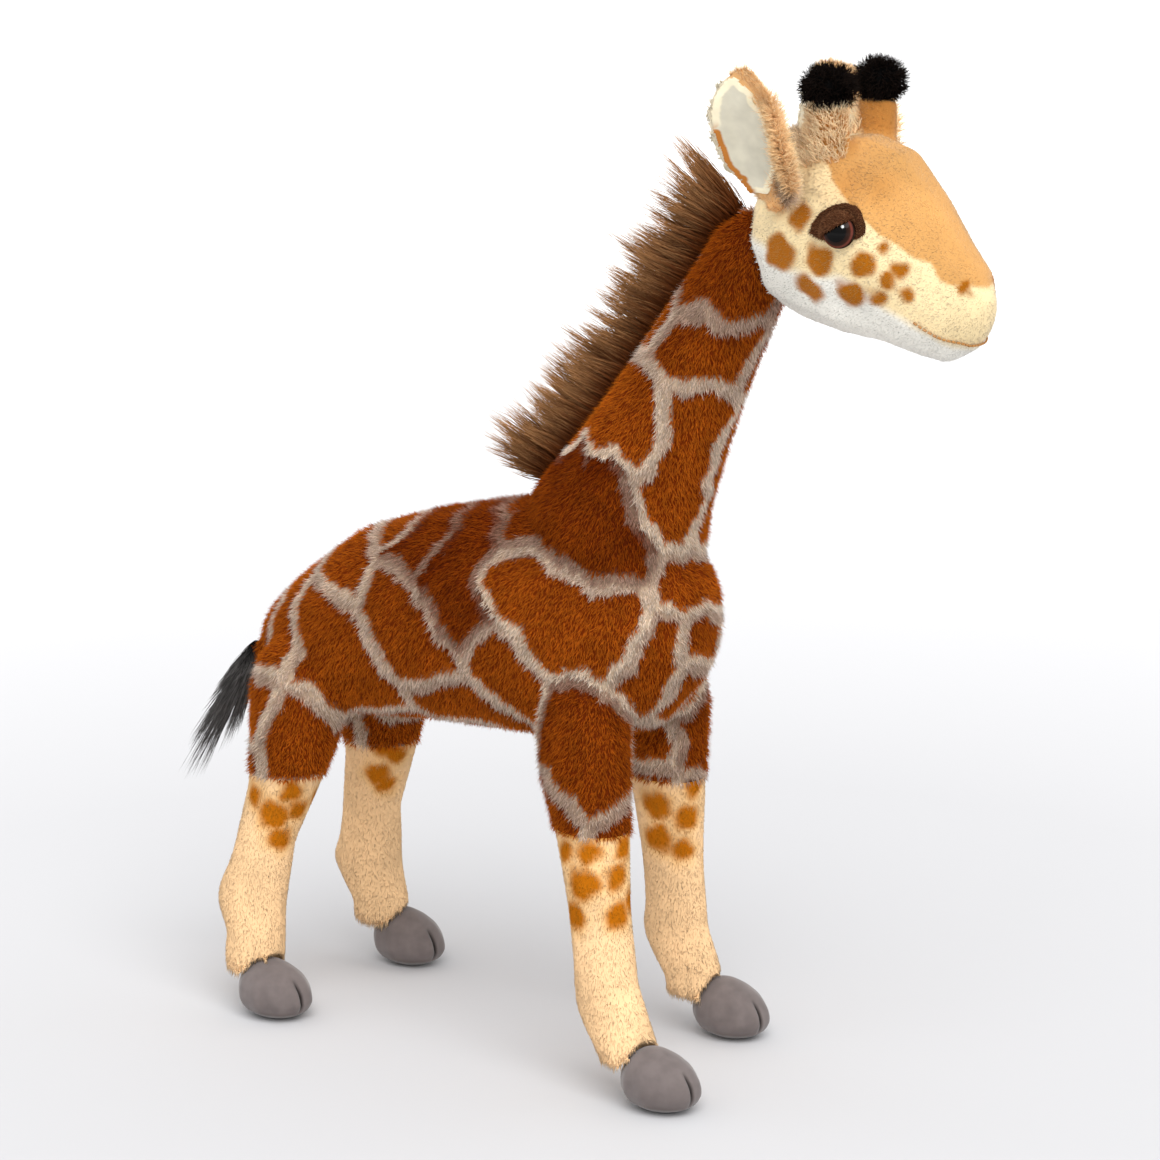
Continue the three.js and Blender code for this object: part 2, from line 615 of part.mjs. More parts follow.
// Ears: a leaf is drawn flat, with its lining towards +Y, and rolled into a cup about an axis along Z. Its
// rows are shares of its length and width, and of the width by which it is fuller in front
const leafShares = [
  [0, 0.3, 0],
  [0.12, 0.55, 0.02],
  [0.3, 0.92, 0.05],
  [0.48, 1, 0.06],
  [0.68, 0.94, 0.05],
  [0.86, 0.66, 0.02],
  [1, 0.3, 0],
];
function earLeaf(side, leanBack, thickness, margin, lift) {
  const rows = leafShares.map(([along, width, forward]) => [
    margin + along * (earLength - 2 * margin), lift, thickness / 2, (width * (earWidth - 2 * margin)) / 2,
    side * forward * earWidth]);
  const leaf = stuffedForm(rows, { sides: 12, rings: 6, domes: [0, earWidth / 4] });
  const places = leaf.attributes.position;
  for (let i = 0; i < places.count; i++) {
    const angle = places.getX(i) / earCupRadius;
    const radius = earCupRadius - places.getY(i);
    places.setXY(i, radius * Math.sin(angle), earCupRadius - radius * Math.cos(angle));
  }
  return leaf
    .rotateZ(-side * radians(earTurn))
    .rotateX(radians(-leanBack))
    .rotateY(side * radians(earSplay));
}

const earPlaceShares = [0.2, 0.2];
const foldAngles = [-earFoldBack, 0, earFoldForward];
const earSeats = [];
for (const [name, side, leanBack] of [['right', -1, rightEarLeanBack], ['left', 1, leftEarLeanBack]]) {
  const { place } = headSide(side, earPlaceShares);
  const earGroup = limb(headGroup, place);
  const root = (grow) => toSolid(
    new THREE.SphereGeometry(earRootRadius + grow, 12, 8).translate(...place.toArray()));
  const clear = swept(headForm(seatGap), place, foldAngles);
  const [leaf, lining] = [[earThickness, 0, 0],
    [liningThickness, liningMargin, (earThickness + liningThickness) / 2 + liningSeat]].map(
    (sizes) => toSolid(earLeaf(side, leanBack, ...sizes).translate(...place.toArray())));
  addPiece(earGroup, `${name}_ear`, joined([root(0), leaf.subtract(clear)]), tanPlush);
  addPiece(earGroup, `${name}_ear_lining`, without(lining, [clear, root(seatGap)]), velour);
  earSeats.push(root(seatGap));
}

// Eyes, their washers and the dark patches round them
const eyePlaceShares = [0.22, 0.48];
const domeRadius = (eyeRadius ** 2 + eyeBulge ** 2) / (2 * eyeBulge);
const eyeProfile = [new THREE.Vector2(0, -shankLength), new THREE.Vector2(shankRadius, -shankLength),
  new THREE.Vector2(shankRadius, 0), new THREE.Vector2(eyeRadius, 0)];
const domeSteps = 3;
for (let k = 1; k <= domeSteps; k++) {
  const angle = Math.asin(eyeRadius / domeRadius) * (1 - k / domeSteps);
  const bulge = eyeBulge - domeRadius * (1 - Math.cos(angle));
  eyeProfile.push(new THREE.Vector2(domeRadius * Math.sin(angle), bulge));
}
const eyeSeats = [];
const rimSinkShare = 0.015;
const rimSink = eyeRadius ** 2 / headWidth + rimSinkShare * headWidth;
for (const [name, side] of [['right', -1], ['left', 1]]) {
  const under = headSide(side, eyePlaceShares);
  const lifted = patchThickness + 2 * seatGap;
  const seat = { ...under, place: under.place.clone().addScaledVector(under.outward, lifted) };
  const rod = (radius, fromDepth, toDepth, spot) => facing(new THREE.CylinderGeometry(
    radius, radius, toDepth - fromDepth, 8).translate(0, -(fromDepth + toDepth) / 2, 0), spot);
  const shankHole = rod(shankRadius + seatGap, -eyeBulge, shankLength + 2 * seatGap, seat);
  const washerTop = plushThickness + seatGap + rimSink;
  const pocket = rod(washerRadius + seatGap, 0, washerTop + washerThickness + seatGap, under);
  const oval = new THREE.EllipseCurve(0, 0, patchLength / 2, patchHeight / 2).getPoints(14).slice(0, -1);
  const patchPrism = facing(new THREE.ExtrudeGeometry(new THREE.Shape(oval), {
    depth: headWidth / 2, bevelEnabled: false,
  }).translate(0, 0, -headWidth / 4).rotateZ(side * radians(90 - headPitch)), under, zAxis);
  addPiece(headGroup, `${name}_eye_patch`, without(
    headForm(seatGap + patchThickness).intersect(patchPrism), [headForm(seatGap), shankHole]), darkPlush);
  addPiece(headGroup, `${name}_eye`, facing(new THREE.LatheGeometry(eyeProfile, 12), seat), eyePlastic);
  addPiece(headGroup, `${name}_eye_washer`, rod(washerRadius, washerTop, washerTop + washerThickness, under)
    .subtract(shankHole), washerPlastic);
  eyeSeats.push({ shankHole, pocket });
}

// Head cover in four panels, over the filling
const browShares = [0.42, 0.1];
const jawShares = [-0.33, -0.14];
const neckRoom = neckForm(jointGap, swingRows(neckRows, neckLength, headNodUp, headNodDown));
const headShell = without(headForm(0), [
  headForm(-plushThickness), neckRoom, ...earSeats, ...eyeSeats.map((seat) => seat.shankHole)]);
const cheeks = headShell.subtract(headAbove(browShares, -seatGap)).intersect(headAbove(jawShares, seatGap));
const sideReach = 2 * headLength;
const sideSpace = (side) => toSolid(new THREE.BoxGeometry(2 * headWidth, 2 * sideReach, 2 * sideReach)
  .translate(side * (headWidth + seatGap / 2), headHinge.y, headHinge.z));
addPiece(headGroup, 'forehead_cover', headShell.intersect(headAbove(browShares)), tanPlush);
addPiece(headGroup, 'right_cheek_cover', cheeks.intersect(sideSpace(-1)), creamPlush);
addPiece(headGroup, 'left_cheek_cover', cheeks.intersect(sideSpace(1)), creamPlush);
addPiece(headGroup, 'jaw_cover', headShell.subtract(headAbove(jawShares)), whitePlush);
addPiece(headGroup, 'head_filling', without(headForm(-plushThickness - seatGap), [
  neckRoom, ...earSeats, ...eyeSeats.flatMap((seat) => [seat.shankHole, seat.pocket]),
  bentWire(headWirePoints, 1, seatGap)]), fibre);

// Mouth: a line of stitches round the muzzle, on the seam of the jaw
const mouthStartShare = 0.72;
const mouthSpace = leaned(new THREE.BoxGeometry(2 * headWidth, 2 * headDepth, headLength)
  .translate(0, 0, headLength * (mouthStartShare + 0.5)), headTilt, skull);
addPiece(headGroup, 'mouth_stitching', headForm(seatGap + threadThickness).subtract(headForm(seatGap))
  .intersect(headAbove(jawShares, -threadWidth / 2)).subtract(headAbove(jawShares, threadWidth / 2))
  .intersect(mouthSpace), thread);

// Horns: stubs on the forehead, leaning outward, each with a black tuft on its flat end
const hornPlaceShares = [0.42, 0.31];
const stubShares = [[0, 1.15], [0.5, 0.98], [1, 0.94]];
const hornTuftShares = [[0, 0.84], [0.3, 1], [0.7, 0.96], [1, 0.8]];
const hornTuftDome = hornTuftRadius / 2;
for (const [name, side] of [['right', -1], ['left', 1]]) {
  const base = onHead((side * hornSpreadShare * headWidth) / 2, ...hornPlaceShares);
  const upright = (rows, shape) => toSolid(stuffedForm(rows, { sides: 12, ...shape })
    .rotateY(side * radians(hornLean)).translate(...base.toArray()));
  const stubRows = stubShares.map(([up, radius]) => [
    up * hornStubHeight, 0, radius * hornStubRadius, radius * hornStubRadius]);
  const tuftUp = hornTuftShares.map(([up, radius]) => [
    hornStubHeight + seatGap + up * hornTuftHeight, 0, radius * hornTuftRadius, radius * hornTuftRadius]);
  addPiece(headGroup, `${name}_horn_stub`, without(
    upright(stubRows, { rings: 3 }), [headForm(seatGap)]), tanPlush);
  addPiece(headGroup, `${name}_horn_tuft`, without(
    upright(tuftUp, { rings: 5, domes: [0, hornTuftDome] }), [headForm(seatGap)]), blackPlush);
}

export default giraffe;
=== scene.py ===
import json
import math
from collections import namedtuple

import bmesh
import bpy
import numpy as np
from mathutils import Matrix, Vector
from mathutils.bvhtree import BVHTree


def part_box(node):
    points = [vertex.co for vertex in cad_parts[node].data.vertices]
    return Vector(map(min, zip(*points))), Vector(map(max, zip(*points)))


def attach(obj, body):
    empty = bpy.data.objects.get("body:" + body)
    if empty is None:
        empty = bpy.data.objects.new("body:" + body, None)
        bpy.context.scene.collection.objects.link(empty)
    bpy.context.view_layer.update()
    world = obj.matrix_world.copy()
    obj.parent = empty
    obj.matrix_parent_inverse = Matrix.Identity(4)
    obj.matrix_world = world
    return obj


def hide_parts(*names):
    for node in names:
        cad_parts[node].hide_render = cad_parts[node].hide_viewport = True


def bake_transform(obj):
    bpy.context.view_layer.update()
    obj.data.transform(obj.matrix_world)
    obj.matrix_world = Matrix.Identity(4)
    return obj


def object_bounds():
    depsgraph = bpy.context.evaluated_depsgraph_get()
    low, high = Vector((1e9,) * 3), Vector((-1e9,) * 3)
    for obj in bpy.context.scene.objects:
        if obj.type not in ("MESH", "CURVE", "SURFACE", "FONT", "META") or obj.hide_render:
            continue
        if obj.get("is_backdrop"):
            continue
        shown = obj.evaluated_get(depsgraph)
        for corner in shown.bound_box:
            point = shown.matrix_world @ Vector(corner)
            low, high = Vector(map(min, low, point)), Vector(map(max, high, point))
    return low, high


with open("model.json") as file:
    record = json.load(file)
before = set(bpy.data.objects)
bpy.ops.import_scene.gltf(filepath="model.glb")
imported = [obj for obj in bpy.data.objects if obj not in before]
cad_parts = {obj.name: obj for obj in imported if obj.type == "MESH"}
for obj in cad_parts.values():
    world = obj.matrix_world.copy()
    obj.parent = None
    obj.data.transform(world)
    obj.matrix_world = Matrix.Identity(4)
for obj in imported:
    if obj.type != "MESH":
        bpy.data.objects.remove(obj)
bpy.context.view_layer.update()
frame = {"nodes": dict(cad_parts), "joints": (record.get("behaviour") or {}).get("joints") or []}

MM = 0.001

# The photographer's place: in front of the toy's right shoulder and a little above its back, far enough away
# that the perspective is slight. Places are in metres in the toy's own frame.
camera_place = Vector((-1.4745, -1.0324, 0.640))
camera_aim = Vector((0.0050, -0.0072, 0.2379))
camera_lens = 116.2


def stand(name, data, place, aim):
    """Puts a camera or a lamp at its place, turned to its aim."""
    made = bpy.data.objects.new(name, data)
    made.location = place
    made.rotation_euler = (aim - place).to_track_quat("-Z", "Y").to_euler()
    bpy.context.collection.objects.link(made)
    return made


camera_data = bpy.data.cameras.new("studio_camera")
camera_data.lens = camera_lens
bpy.context.scene.camera = stand("studio_camera", camera_data, camera_place, camera_aim)
bpy.context.scene.view_settings.view_transform = "Standard"


# The studio: a sheet of matt paper that runs out past the picture, under a large soft lamp, a pale room and a
# small lamp for the glint in the eyes. The paper's colour carries painted shading: greyer near the toy and
# whiter with the distance. The light is strong, because deep pile swallows much of it.
paper_size = 40.0
paper_painted_shading = ("#c4c4c6", "#f6f6f6")
paper_shading_reach = (0.5, 3.0)
room_strength = 1.05
room_seen = 1.0
lamp_strength = 2.3
lamp_spread = math.radians(50)
lamp_place = Vector((-1.2, -1.3, 2.2))
glint_strength = 40
glint_size = 0.4
glint_place = Vector((-1.16, -0.63, 1.17))
glint_aim = Vector((0, -0.17, 0.43))


def dye(code):
    """A colour written as sRGB hex, as the linear numbers that a shader wants."""
    parts = [int(code[at:at + 2], 16) / 255 for at in (1, 3, 5)]
    return (*[part / 12.92 if part <= 0.04045 else ((part + 0.055) / 1.055) ** 2.4 for part in parts], 1.0)


def add(tree, kind, inputs=None, **settings):
    """Adds a node with its settings, and gives each named input a value or a link."""
    made = tree.nodes.new(kind)
    for name, value in settings.items():
        setattr(made, name, value)
    for name, value in (inputs or {}).items():
        if isinstance(value, bpy.types.NodeSocket):
            tree.links.new(value, made.inputs[name])
        else:
            made.inputs[name].default_value = value
    return made


def new_material(name):
    """An empty node material, with its tree."""
    made = bpy.data.materials.new(name)
    made.use_nodes = True
    made.node_tree.nodes.clear()
    return made, made.node_tree


bpy.ops.mesh.primitive_plane_add(size=paper_size)
paper = bpy.context.object
paper.name = "studio_paper"
matt_paper, tree = new_material("matt_paper")
space = add(tree, "ShaderNodeTexCoord")
# Painted shading on the paper: grey near the toy, whiter with the distance.
away = add(tree, "ShaderNodeVectorMath", {0: space.outputs["Object"]}, operation="LENGTH")
fade = add(tree, "ShaderNodeMapRange",
           {"Value": away.outputs["Value"], "From Min": paper_shading_reach[0], "From Max": paper_shading_reach[1]})
white = add(tree, "ShaderNodeMix", {0: fade.outputs[0], 6: dye(paper_painted_shading[0]), 7: dye(paper_painted_shading[1])},
            data_type="RGBA")
shader = add(tree, "ShaderNodeBsdfPrincipled",
             {"Base Color": white.outputs[2], "Roughness": 0.95, "Specular IOR Level": 0.1})
add(tree, "ShaderNodeOutputMaterial", {"Surface": shader.outputs[0]})
paper.data.materials.append(matt_paper)
paper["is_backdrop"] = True

lamp_data = bpy.data.lights.new("soft_lamp", "SUN")
lamp_data.energy = lamp_strength
lamp_data.angle = lamp_spread
stand("soft_lamp", lamp_data, lamp_place, Vector())

glint_data = bpy.data.lights.new("glint_lamp", "AREA")
glint_data.shape = "DISK"
glint_data.size = glint_size
glint_data.energy = glint_strength
glint = stand("glint_lamp", glint_data, glint_place, glint_aim)
glint.visible_diffuse = False
glint.visible_camera = False

room = bpy.data.worlds.new("pale_room")
bpy.context.scene.world = room
room.use_nodes = True
tree = room.node_tree
tree.nodes.clear()
rays = add(tree, "ShaderNodeLightPath")
seen = rays.outputs["Is Camera Ray"]
for kind in ("Is Glossy Ray", "Is Transmission Ray"):
    seen = add(tree, "ShaderNodeMath", {0: seen, 1: rays.outputs[kind]}, operation="MAXIMUM").outputs[0]
strength = add(tree, "ShaderNodeMapRange", {"Value": seen, "To Min": room_strength, "To Max": room_seen})
glow = add(tree, "ShaderNodeBackground", {"Color": dye("#ffffff"), "Strength": strength.outputs[0]})
add(tree, "ShaderNodeOutputWorld", {"Surface": glow.outputs[0]})


# Body of the toy: one stuffed form of short spotted plush, rump to neck and down the legs. The real one is
# cut from plush sheet, sewn inside out, turned and stuffed, so that its seams sink into the pile.

# A side or a leg is given by which way it lies from the toy's middle: across and, for a leg, along.
sides = {"right": -1, "left": 1}
legs = {"front_right": (-1, -1), "front_left": (1, -1), "hind_right": (-1, 1), "hind_left": (1, 1)}
toy_middle = 40
joint_places = {joint["name"]: Vector(joint["pos_m"]) for joint in frame["joints"]}
neck_line = Vector((0, -0.48, 0.877)).normalized()
neck_root = -5
hip_seat = (35, 175)
hip_slant = (0.735, -0.676)
thigh_margin = 8
shin_overlap = 5
shin_inner = 8

# How a pile stands: its fibres to the square millimetre, their length and width in mm, their lean in degrees
# from upright, how far they stray from the nap, how much their lean differs, in degrees, how many steps they
# have and how much they turn at each.
Pile = namedtuple("Pile", "density length width lean stray unruly steps curl", defaults=(0.16, 7, 1, 0.0))
root_depth = 0.5
length_spread = (0.75, 1.2)
width_spread = (0.75, 1.3)


def select_only(*objects):
    """Leaves just these objects selected, the first of them active."""
    bpy.ops.object.select_all(action="DESELECT")
    for item in objects:
        item.select_set(True)
    bpy.context.view_layer.objects.active = objects[0]


def from_bmesh(name, built):
    """An object with the mesh that was built."""
    mesh = bpy.data.meshes.new(name)
    built.to_mesh(mesh)
    built.free()
    made = bpy.data.objects.new(name, mesh)
    bpy.context.collection.objects.link(made)
    return made


def stuffed_skin(name, nodes, voxel, inset, rounds, wads=()):
    """One closed skin over stuffed CAD pieces and any wads of stuffing: the panels' gaps close, the facets
    relax, and it is drawn in by the depth of the pile that will stand on it. Sizes are in mm."""
    built = bmesh.new()
    for mesh in [frame["nodes"][node].data for node in nodes] + [wad.data for wad in wads]:
        built.from_mesh(mesh)
    bmesh.ops.remove_doubles(built, verts=built.verts, dist=0.01 * MM)
    skin = from_bmesh(name, built)
    select_only(skin)
    remesh = skin.modifiers.new("close_seams", "REMESH")
    remesh.mode = "VOXEL"
    remesh.voxel_size = voxel * MM
    relax = skin.modifiers.new("relax", "SMOOTH")
    relax.factor = 0.5
    relax.iterations = rounds
    if inset:
        draw_in = skin.modifiers.new("under_pile", "DISPLACE")
        draw_in.mid_level = 0
        draw_in.strength = -inset * MM
    for step in skin.modifiers.keys():
        bpy.ops.object.modifier_apply(modifier=step)
    bpy.ops.object.mode_set(mode="EDIT")
    bpy.ops.mesh.select_all(action="SELECT")
    bpy.ops.mesh.separate(type="LOOSE")
    bpy.ops.object.mode_set(mode="OBJECT")
    found = sorted(bpy.context.selected_objects, key=lambda item: -len(item.data.vertices))
    for crumb in found[1:]:
        bpy.data.meshes.remove(crumb.data)
    found[0].name = found[0].data.name = name
    found[0].data.shade_smooth()
    return found[0]


def cut_out(name, form, chosen):
    """The chosen faces of a form, as a closed skin of their own."""
    built = bmesh.new()
    built.from_mesh(form.data)
    others = [face for face, keep in zip(built.faces[:], chosen) if not keep]
    bmesh.ops.delete(built, geom=others, context="FACES")
    bmesh.ops.holes_fill(built, edges=[edge for edge in built.edges if edge.is_boundary], sides=0)
    bmesh.ops.recalc_face_normals(built, faces=built.faces)
    return from_bmesh(name, built)


def numbers(collection, name, width, kind=np.float32):
    """One property of all the items of a mesh, as rows of numbers."""
    values = np.empty(len(collection) * width, kind)
    collection.foreach_get(name, values)
    return values.reshape(-1, width)


def places_of(mesh):
    """Where the vertices of a mesh are, in mm."""
    return numbers(mesh.vertices, "co", 3) / MM


def move_to(mesh, places):
    """Puts the vertices of a mesh at these places, in metres."""
    mesh.vertices.foreach_set("co", places.astype(np.float32).ravel())
    mesh.update()


def surface(item):
    """The surface of an object, to be searched for the nearest place or along a ray."""
    return BVHTree.FromObject(item, bpy.context.evaluated_depsgraph_get())


def unit(rows):
    """Each row at length one."""
    return rows / np.maximum(np.linalg.norm(rows, axis=-1, keepdims=True), 1e-9)


def fades(amount, over):
    """0 to 1 as an amount goes from nothing to over."""
    return np.clip(amount / over, 0, 1)


def paint(mesh, name, colours):
    """Writes a colour for each vertex."""
    layer = mesh.color_attributes.new(name, "FLOAT_COLOR", "POINT")
    full = np.ones((len(colours), 4), np.float32)
    full[:, :3] = colours
    layer.data.foreach_set("color", full.ravel())


def scatter(mesh, density, draw, keep=None):
    """Random places spread evenly over a mesh, density of them to the square mm, and the ways out."""
    mesh.calc_loop_triangles()
    corners = numbers(mesh.loop_triangles, "vertices", 3, np.int32)
    places = numbers(mesh.vertices, "co", 3)[corners]
    outs = numbers(mesh.vertices, "normal", 3)[corners]
    size = np.linalg.norm(np.cross(places[:, 1] - places[:, 0], places[:, 2] - places[:, 0]), axis=1) / 2
    if keep is not None:
        size = size * keep(places.mean(1) / MM)
    count = int(size.sum() / MM ** 2 * density)
    chosen = draw.choice(len(size), count, p=size / size.sum())
    share = draw.dirichlet((1, 1, 1), count)[..., None]
    return (places[chosen] * share).sum(1), unit((outs[chosen] * share).sum(1))


def weave_fibres(name, spines, width, across, coat, flat=0.45):
    """A closed three-sided fibre along each spine, thinning to a point. coat is what the masks of dye and any
    painted shade say at each root. The fibres' own map has a cell for each, so that a bake can tell them
    apart."""
    count, rings = spines.shape[0], spines.shape[1] - 1
    along = unit(np.gradient(spines, axis=1))
    side = unit(across[:, None] - (across[:, None] * along).sum(-1, keepdims=True) * along)
    rise = np.cross(along, side)
    taper = 1 - 0.75 * (np.arange(rings) / rings) ** 1.6
    half = (width[:, None] / 2 * taper)[..., None]
    ring = [spines[:, :-1] + half * (math.cos(turn) * side[:, :-1] + flat * math.sin(turn) * rise[:, :-1])
            for turn in np.radians([90, 210, 330])]
    body = np.stack(ring, 2).reshape(count, rings * 3, 3)
    places = np.concatenate([body, spines[:, -1:]], 1)
    tip = rings * 3
    faces, cells = [(2, 1, 0)], [[(0.2, 0.99), (0.46, 0.99), (0.333, 0.8)]]
    for wall in range(3):
        left, right = wall / 3 + 0.02, (wall + 1) / 3 - 0.02
        for level in range(rings):
            here, beside = 3 * level + wall, 3 * level + (wall + 1) % 3
            low, high = level / rings * 0.94 + 0.02, (level + 1) / rings * 0.94 + 0.02
            if level == rings - 1:
                faces.append((here, beside, tip))
                cells.append([(left, low), (right, low), ((left + right) / 2, high)])
            else:
                faces += [(here, beside, beside + 3), (here, beside + 3, here + 3)]
                cells.append([(left, low), (right, low), (right, high)])
                cells.append([(left, low), (right, high), (left, high)])
    corners = (np.array(faces)[None] + (np.arange(count) * (tip + 1))[:, None, None]).reshape(-1)
    mesh = bpy.data.meshes.new(name)
    mesh.vertices.add(count * (tip + 1))
    mesh.vertices.foreach_set("co", places.astype(np.float32).ravel())
    mesh.loops.add(len(corners))
    mesh.loops.foreach_set("vertex_index", corners.astype(np.int32))
    mesh.polygons.add(len(corners) // 3)
    mesh.polygons.foreach_set("loop_start", np.arange(0, len(corners), 3, dtype=np.int32))
    mesh.update()
    mesh.shade_smooth()
    grid = math.ceil(math.sqrt(count))
    cell = np.stack([np.arange(count) % grid, np.arange(count) // grid], 1)
    spots = (np.array(cells)[None] + cell[:, None, None]) / grid
    mesh.uv_layers.new(name="OFBake").data.foreach_set("uv", spots.astype(np.float32).ravel())
    height = np.tile(np.append(np.repeat(np.arange(rings) / rings, 3), 1.0), count)
    luck = np.repeat(np.random.default_rng(count).random(count), tip + 1)
    paint(mesh, "Coat", np.repeat(coat, tip + 1, 0))
    paint(mesh, "Fibre", np.stack([height, luck, luck * 0], 1))
    made = bpy.data.objects.new(name, mesh)
    bpy.context.collection.objects.link(made)
    return made


def undyed(places):
    """No dye on the ground colour."""
    return np.zeros((len(places), 3))


def plant_pile(name, skin, pile, nap, coat, seed, keep=None, extra=None):
    """Grows a pile on a skin along its nap, a direction or a function that gives one at each place. coat
    gives the masks of dye and any painted shade, keep says where the pile stands and extra makes it longer,
    by mm."""
    draw = np.random.default_rng(seed)
    place, out = scatter(skin.data, pile.density, draw, keep)
    flow = nap(place / MM) if callable(nap) else np.array(nap)
    flow = unit(flow - (flow * out).sum(1, keepdims=True) * out)
    flow = unit(flow + draw.normal(0, pile.stray, (len(place), 1)) * np.cross(out, flow))
    tilt = np.radians(pile.lean + draw.normal(0, pile.unruly, (len(place), 1)))
    length = pile.length + (extra(place / MM)[:, None] if extra else 0)
    size = length * MM * draw.uniform(*length_spread, (len(place), 1))
    heading = np.cos(tilt) * out + np.sin(tilt) * flow
    spine = [place - root_depth * MM * out]
    for step in range(pile.steps):
        spine.append(spine[-1] + size / pile.steps * heading)
        heading = unit(heading + pile.curl * draw.normal(0, 1, heading.shape))
    breadth = pile.width * MM * draw.uniform(*width_spread, len(place))
    return weave_fibres(name, np.stack(spine, 1), breadth, np.cross(out, flow), coat(place / MM))


# Dye of the coat, and painted shade: rust brown patches set close together, with furry cream lines between
# them. Each patch is given by how dark it is and by a few middles, in mm, each with a reach that pushes the
# patch's borders out, and painted shade darkens it along its upper border, under the line above. One whose
# first middle is close to the toy's own middle goes on over to the other side.
coat_patches = [
    (0.55, [(-19, -122, 404, 14), (-21, -113, 391, 8), (-14, -96, 401, 5), (-14, -87, 393, 2)]),
    (0.3, [(-13, -71, 385, -8)]),
    (0.3, [(-26, -91, 369, 3), (-15, -109, 363, -3)]),
    (0.15, [(0, 15, 312, 0), (-29, -54, 332, 5), (-32, -64, 322, 3), (-30, -43, 322, 3), (-14, -17, 318, 0)]),
    (0.1, [(-18, -86, 313, 10), (-23, -75, 290, 4), (-16, -93, 325, 8), (-14, -78, 280, 0)]),
    (0.7, [(-12, 24, 279, 2), (-38, -25, 285, 8), (-30, 6, 283, 6), (-30, -26, 304, 3), (-36, -44, 299, 3),
           (-37, -51, 285, 3), (-21, -5, 297, 2), (-37, -54, 269, 3), (-34, -60, 264, 0)]),
    (0.1, [(-49, -33, 227, 14), (-48, -2, 242, 5), (-45, -53, 224, 6), (-38, -63, 236, 4)]),
    (0.2, [(-26, -77, 224, 0), (-24, -72, 200, 0)]),
    (0.15, [(-6, -84, 248, 0), (-17, -80, 248, -2)]),
    (0.2, [(-4, -87, 222, 0)]),
    (0.2, [(-4, -80, 196, 0)]),
    (0.75, [(-10, 34, 273, 0), (-22, 32, 271, 0), (-38, 35, 258, 0), (-44, 43, 245, 0), (-49, 32, 232, -4),
            (-51, 22, 224, -7)]),
    (0.75, [(-10, 62, 269, 0), (-28, 59, 260, 0), (-39, 62, 250, -3)]),
    (0.4, [(-12, 90, 260, 0)]),
    (0.3, [(-48, 70, 233, 0), (-52, 58, 215, 9), (-49, 48, 201, 3)]),
    (0.3, [(-10, 117, 251, 0), (-24, 114, 247, 0), (-38, 108, 236, -3)]),
    (0.2, [(-46, 116, 216, 5), (-48, 107, 197, 9), (-37, 98, 173, 7)]),
    (0.2, [(-11, 148, 230, -8), (-38, 156, 196, -12)]),
    (0.15, [(-50, 8, 209, -5), (-45, -2, 192, -3)]),
    (0.2, [(-40, 40, 179, -3), (-31, 22, 171, -3)]),
    (0.2, [(-52, 125, 146, 4), (-42, 121, 134, 4)]),
    (0.45, [(-51, -58, 157, 8), (-54, -40, 183, 0), (-46, -60, 175, 0)]),
    (0.3, [(-55, -33, 128, -8)]),
    (0.3, [(-41, -67, 127, -8)]),
    (0.3, [(-10, 171, 196, 2)]),
    (0.2, [(-36, 158, 160, 2)]),
    (0.2, [(-10, 90, 158, 0)]),
    (0.2, [(-8, 30, 156, 0)]),
    (0.2, [(-12, -40, 162, 0)]),
    (0.2, [(-30, 160, 134, -6)]),
    (0.2, [(-24, -40, 134, -4)]),
]
coat_gap = 4.3
coat_waver = ((1.6, 11), (0.8, 3.7))
rim_reach = 12
rim_shade = 0.3
rim_way = (0, 0.45, 0.9)
crossing_reach = 12
far_side_shift = np.array([0, 7, -5])
batch = 20000
middles = np.array([middle for dark, patch in coat_patches for *middle, reach in patch], float)
middles = np.concatenate([middles, middles * (-1, 1, 1) + far_side_shift])
reaches = np.array([reach for dark, patch in coat_patches for *middle, reach in patch] * 2, float)
darkness = np.array([dark for dark, patch in coat_patches] * 2)
crossing = np.array([abs(patch[0][0]) <= crossing_reach for dark, patch in coat_patches])
owners = np.repeat(np.arange(len(coat_patches)), [len(patch) for dark, patch in coat_patches])
owners = np.concatenate([owners, np.where(crossing[owners], owners, owners + len(coat_patches))])


def wander(places, swing, span):
    """Bends places by a few slow waves, so that straight borders waver like cut fur."""
    x, y, z = (places / span).T
    waves = [np.sin(1.7 * y + 2.3 * z) + np.sin(3.1 * z - 1.3 * x),
             np.sin(2.1 * z + 1.1 * x) + np.sin(2.9 * y + 0.7),
             np.sin(2.6 * y - 1.9 * x) + np.sin(3.3 * z + 1.9 * y)]
    return places + swing / 2 * np.stack(waves, 1)


def coat_dye_and_shade(places):
    """How far a place is in a brown patch, 0 or 1, and how dark its brown is: its own darkness, and painted
    shade along its upper border."""
    bent = places
    for swing, span in coat_waver:
        bent = wander(bent, swing, span)
    masks = undyed(places)
    for start in range(0, len(places), batch):
        part = slice(start, start + batch)
        apart = ((bent[part, None] - middles) ** 2).sum(-1) - np.sign(reaches) * reaches ** 2
        first = apart.argmin(1)
        rows = np.arange(len(first))
        away = middles - middles[first][:, None]
        span = np.linalg.norm(away, axis=-1) + 1e-6
        border = (apart - apart[rows, first][:, None]) / (2 * span)
        border = np.where(owners == owners[first][:, None], 1e9, border)
        nearest = border.argmin(1)
        inside = border[rows, nearest] - coat_gap
        upward = (away[rows, nearest] * rim_way).sum(-1) / span[rows, nearest]
        # Painted shade along the patch's upper border, under the line above it.
        rim = np.clip(1 - inside / rim_reach, 0, 1) * np.clip(0.4 + 0.8 * upward, 0, 1)
        masks[part, 0] = np.clip(inside / 0.5 + 0.5, 0, 1)
        masks[part, 1] = np.clip(darkness[owners[first]] + rim_shade * rim, 0, 1)
    return masks


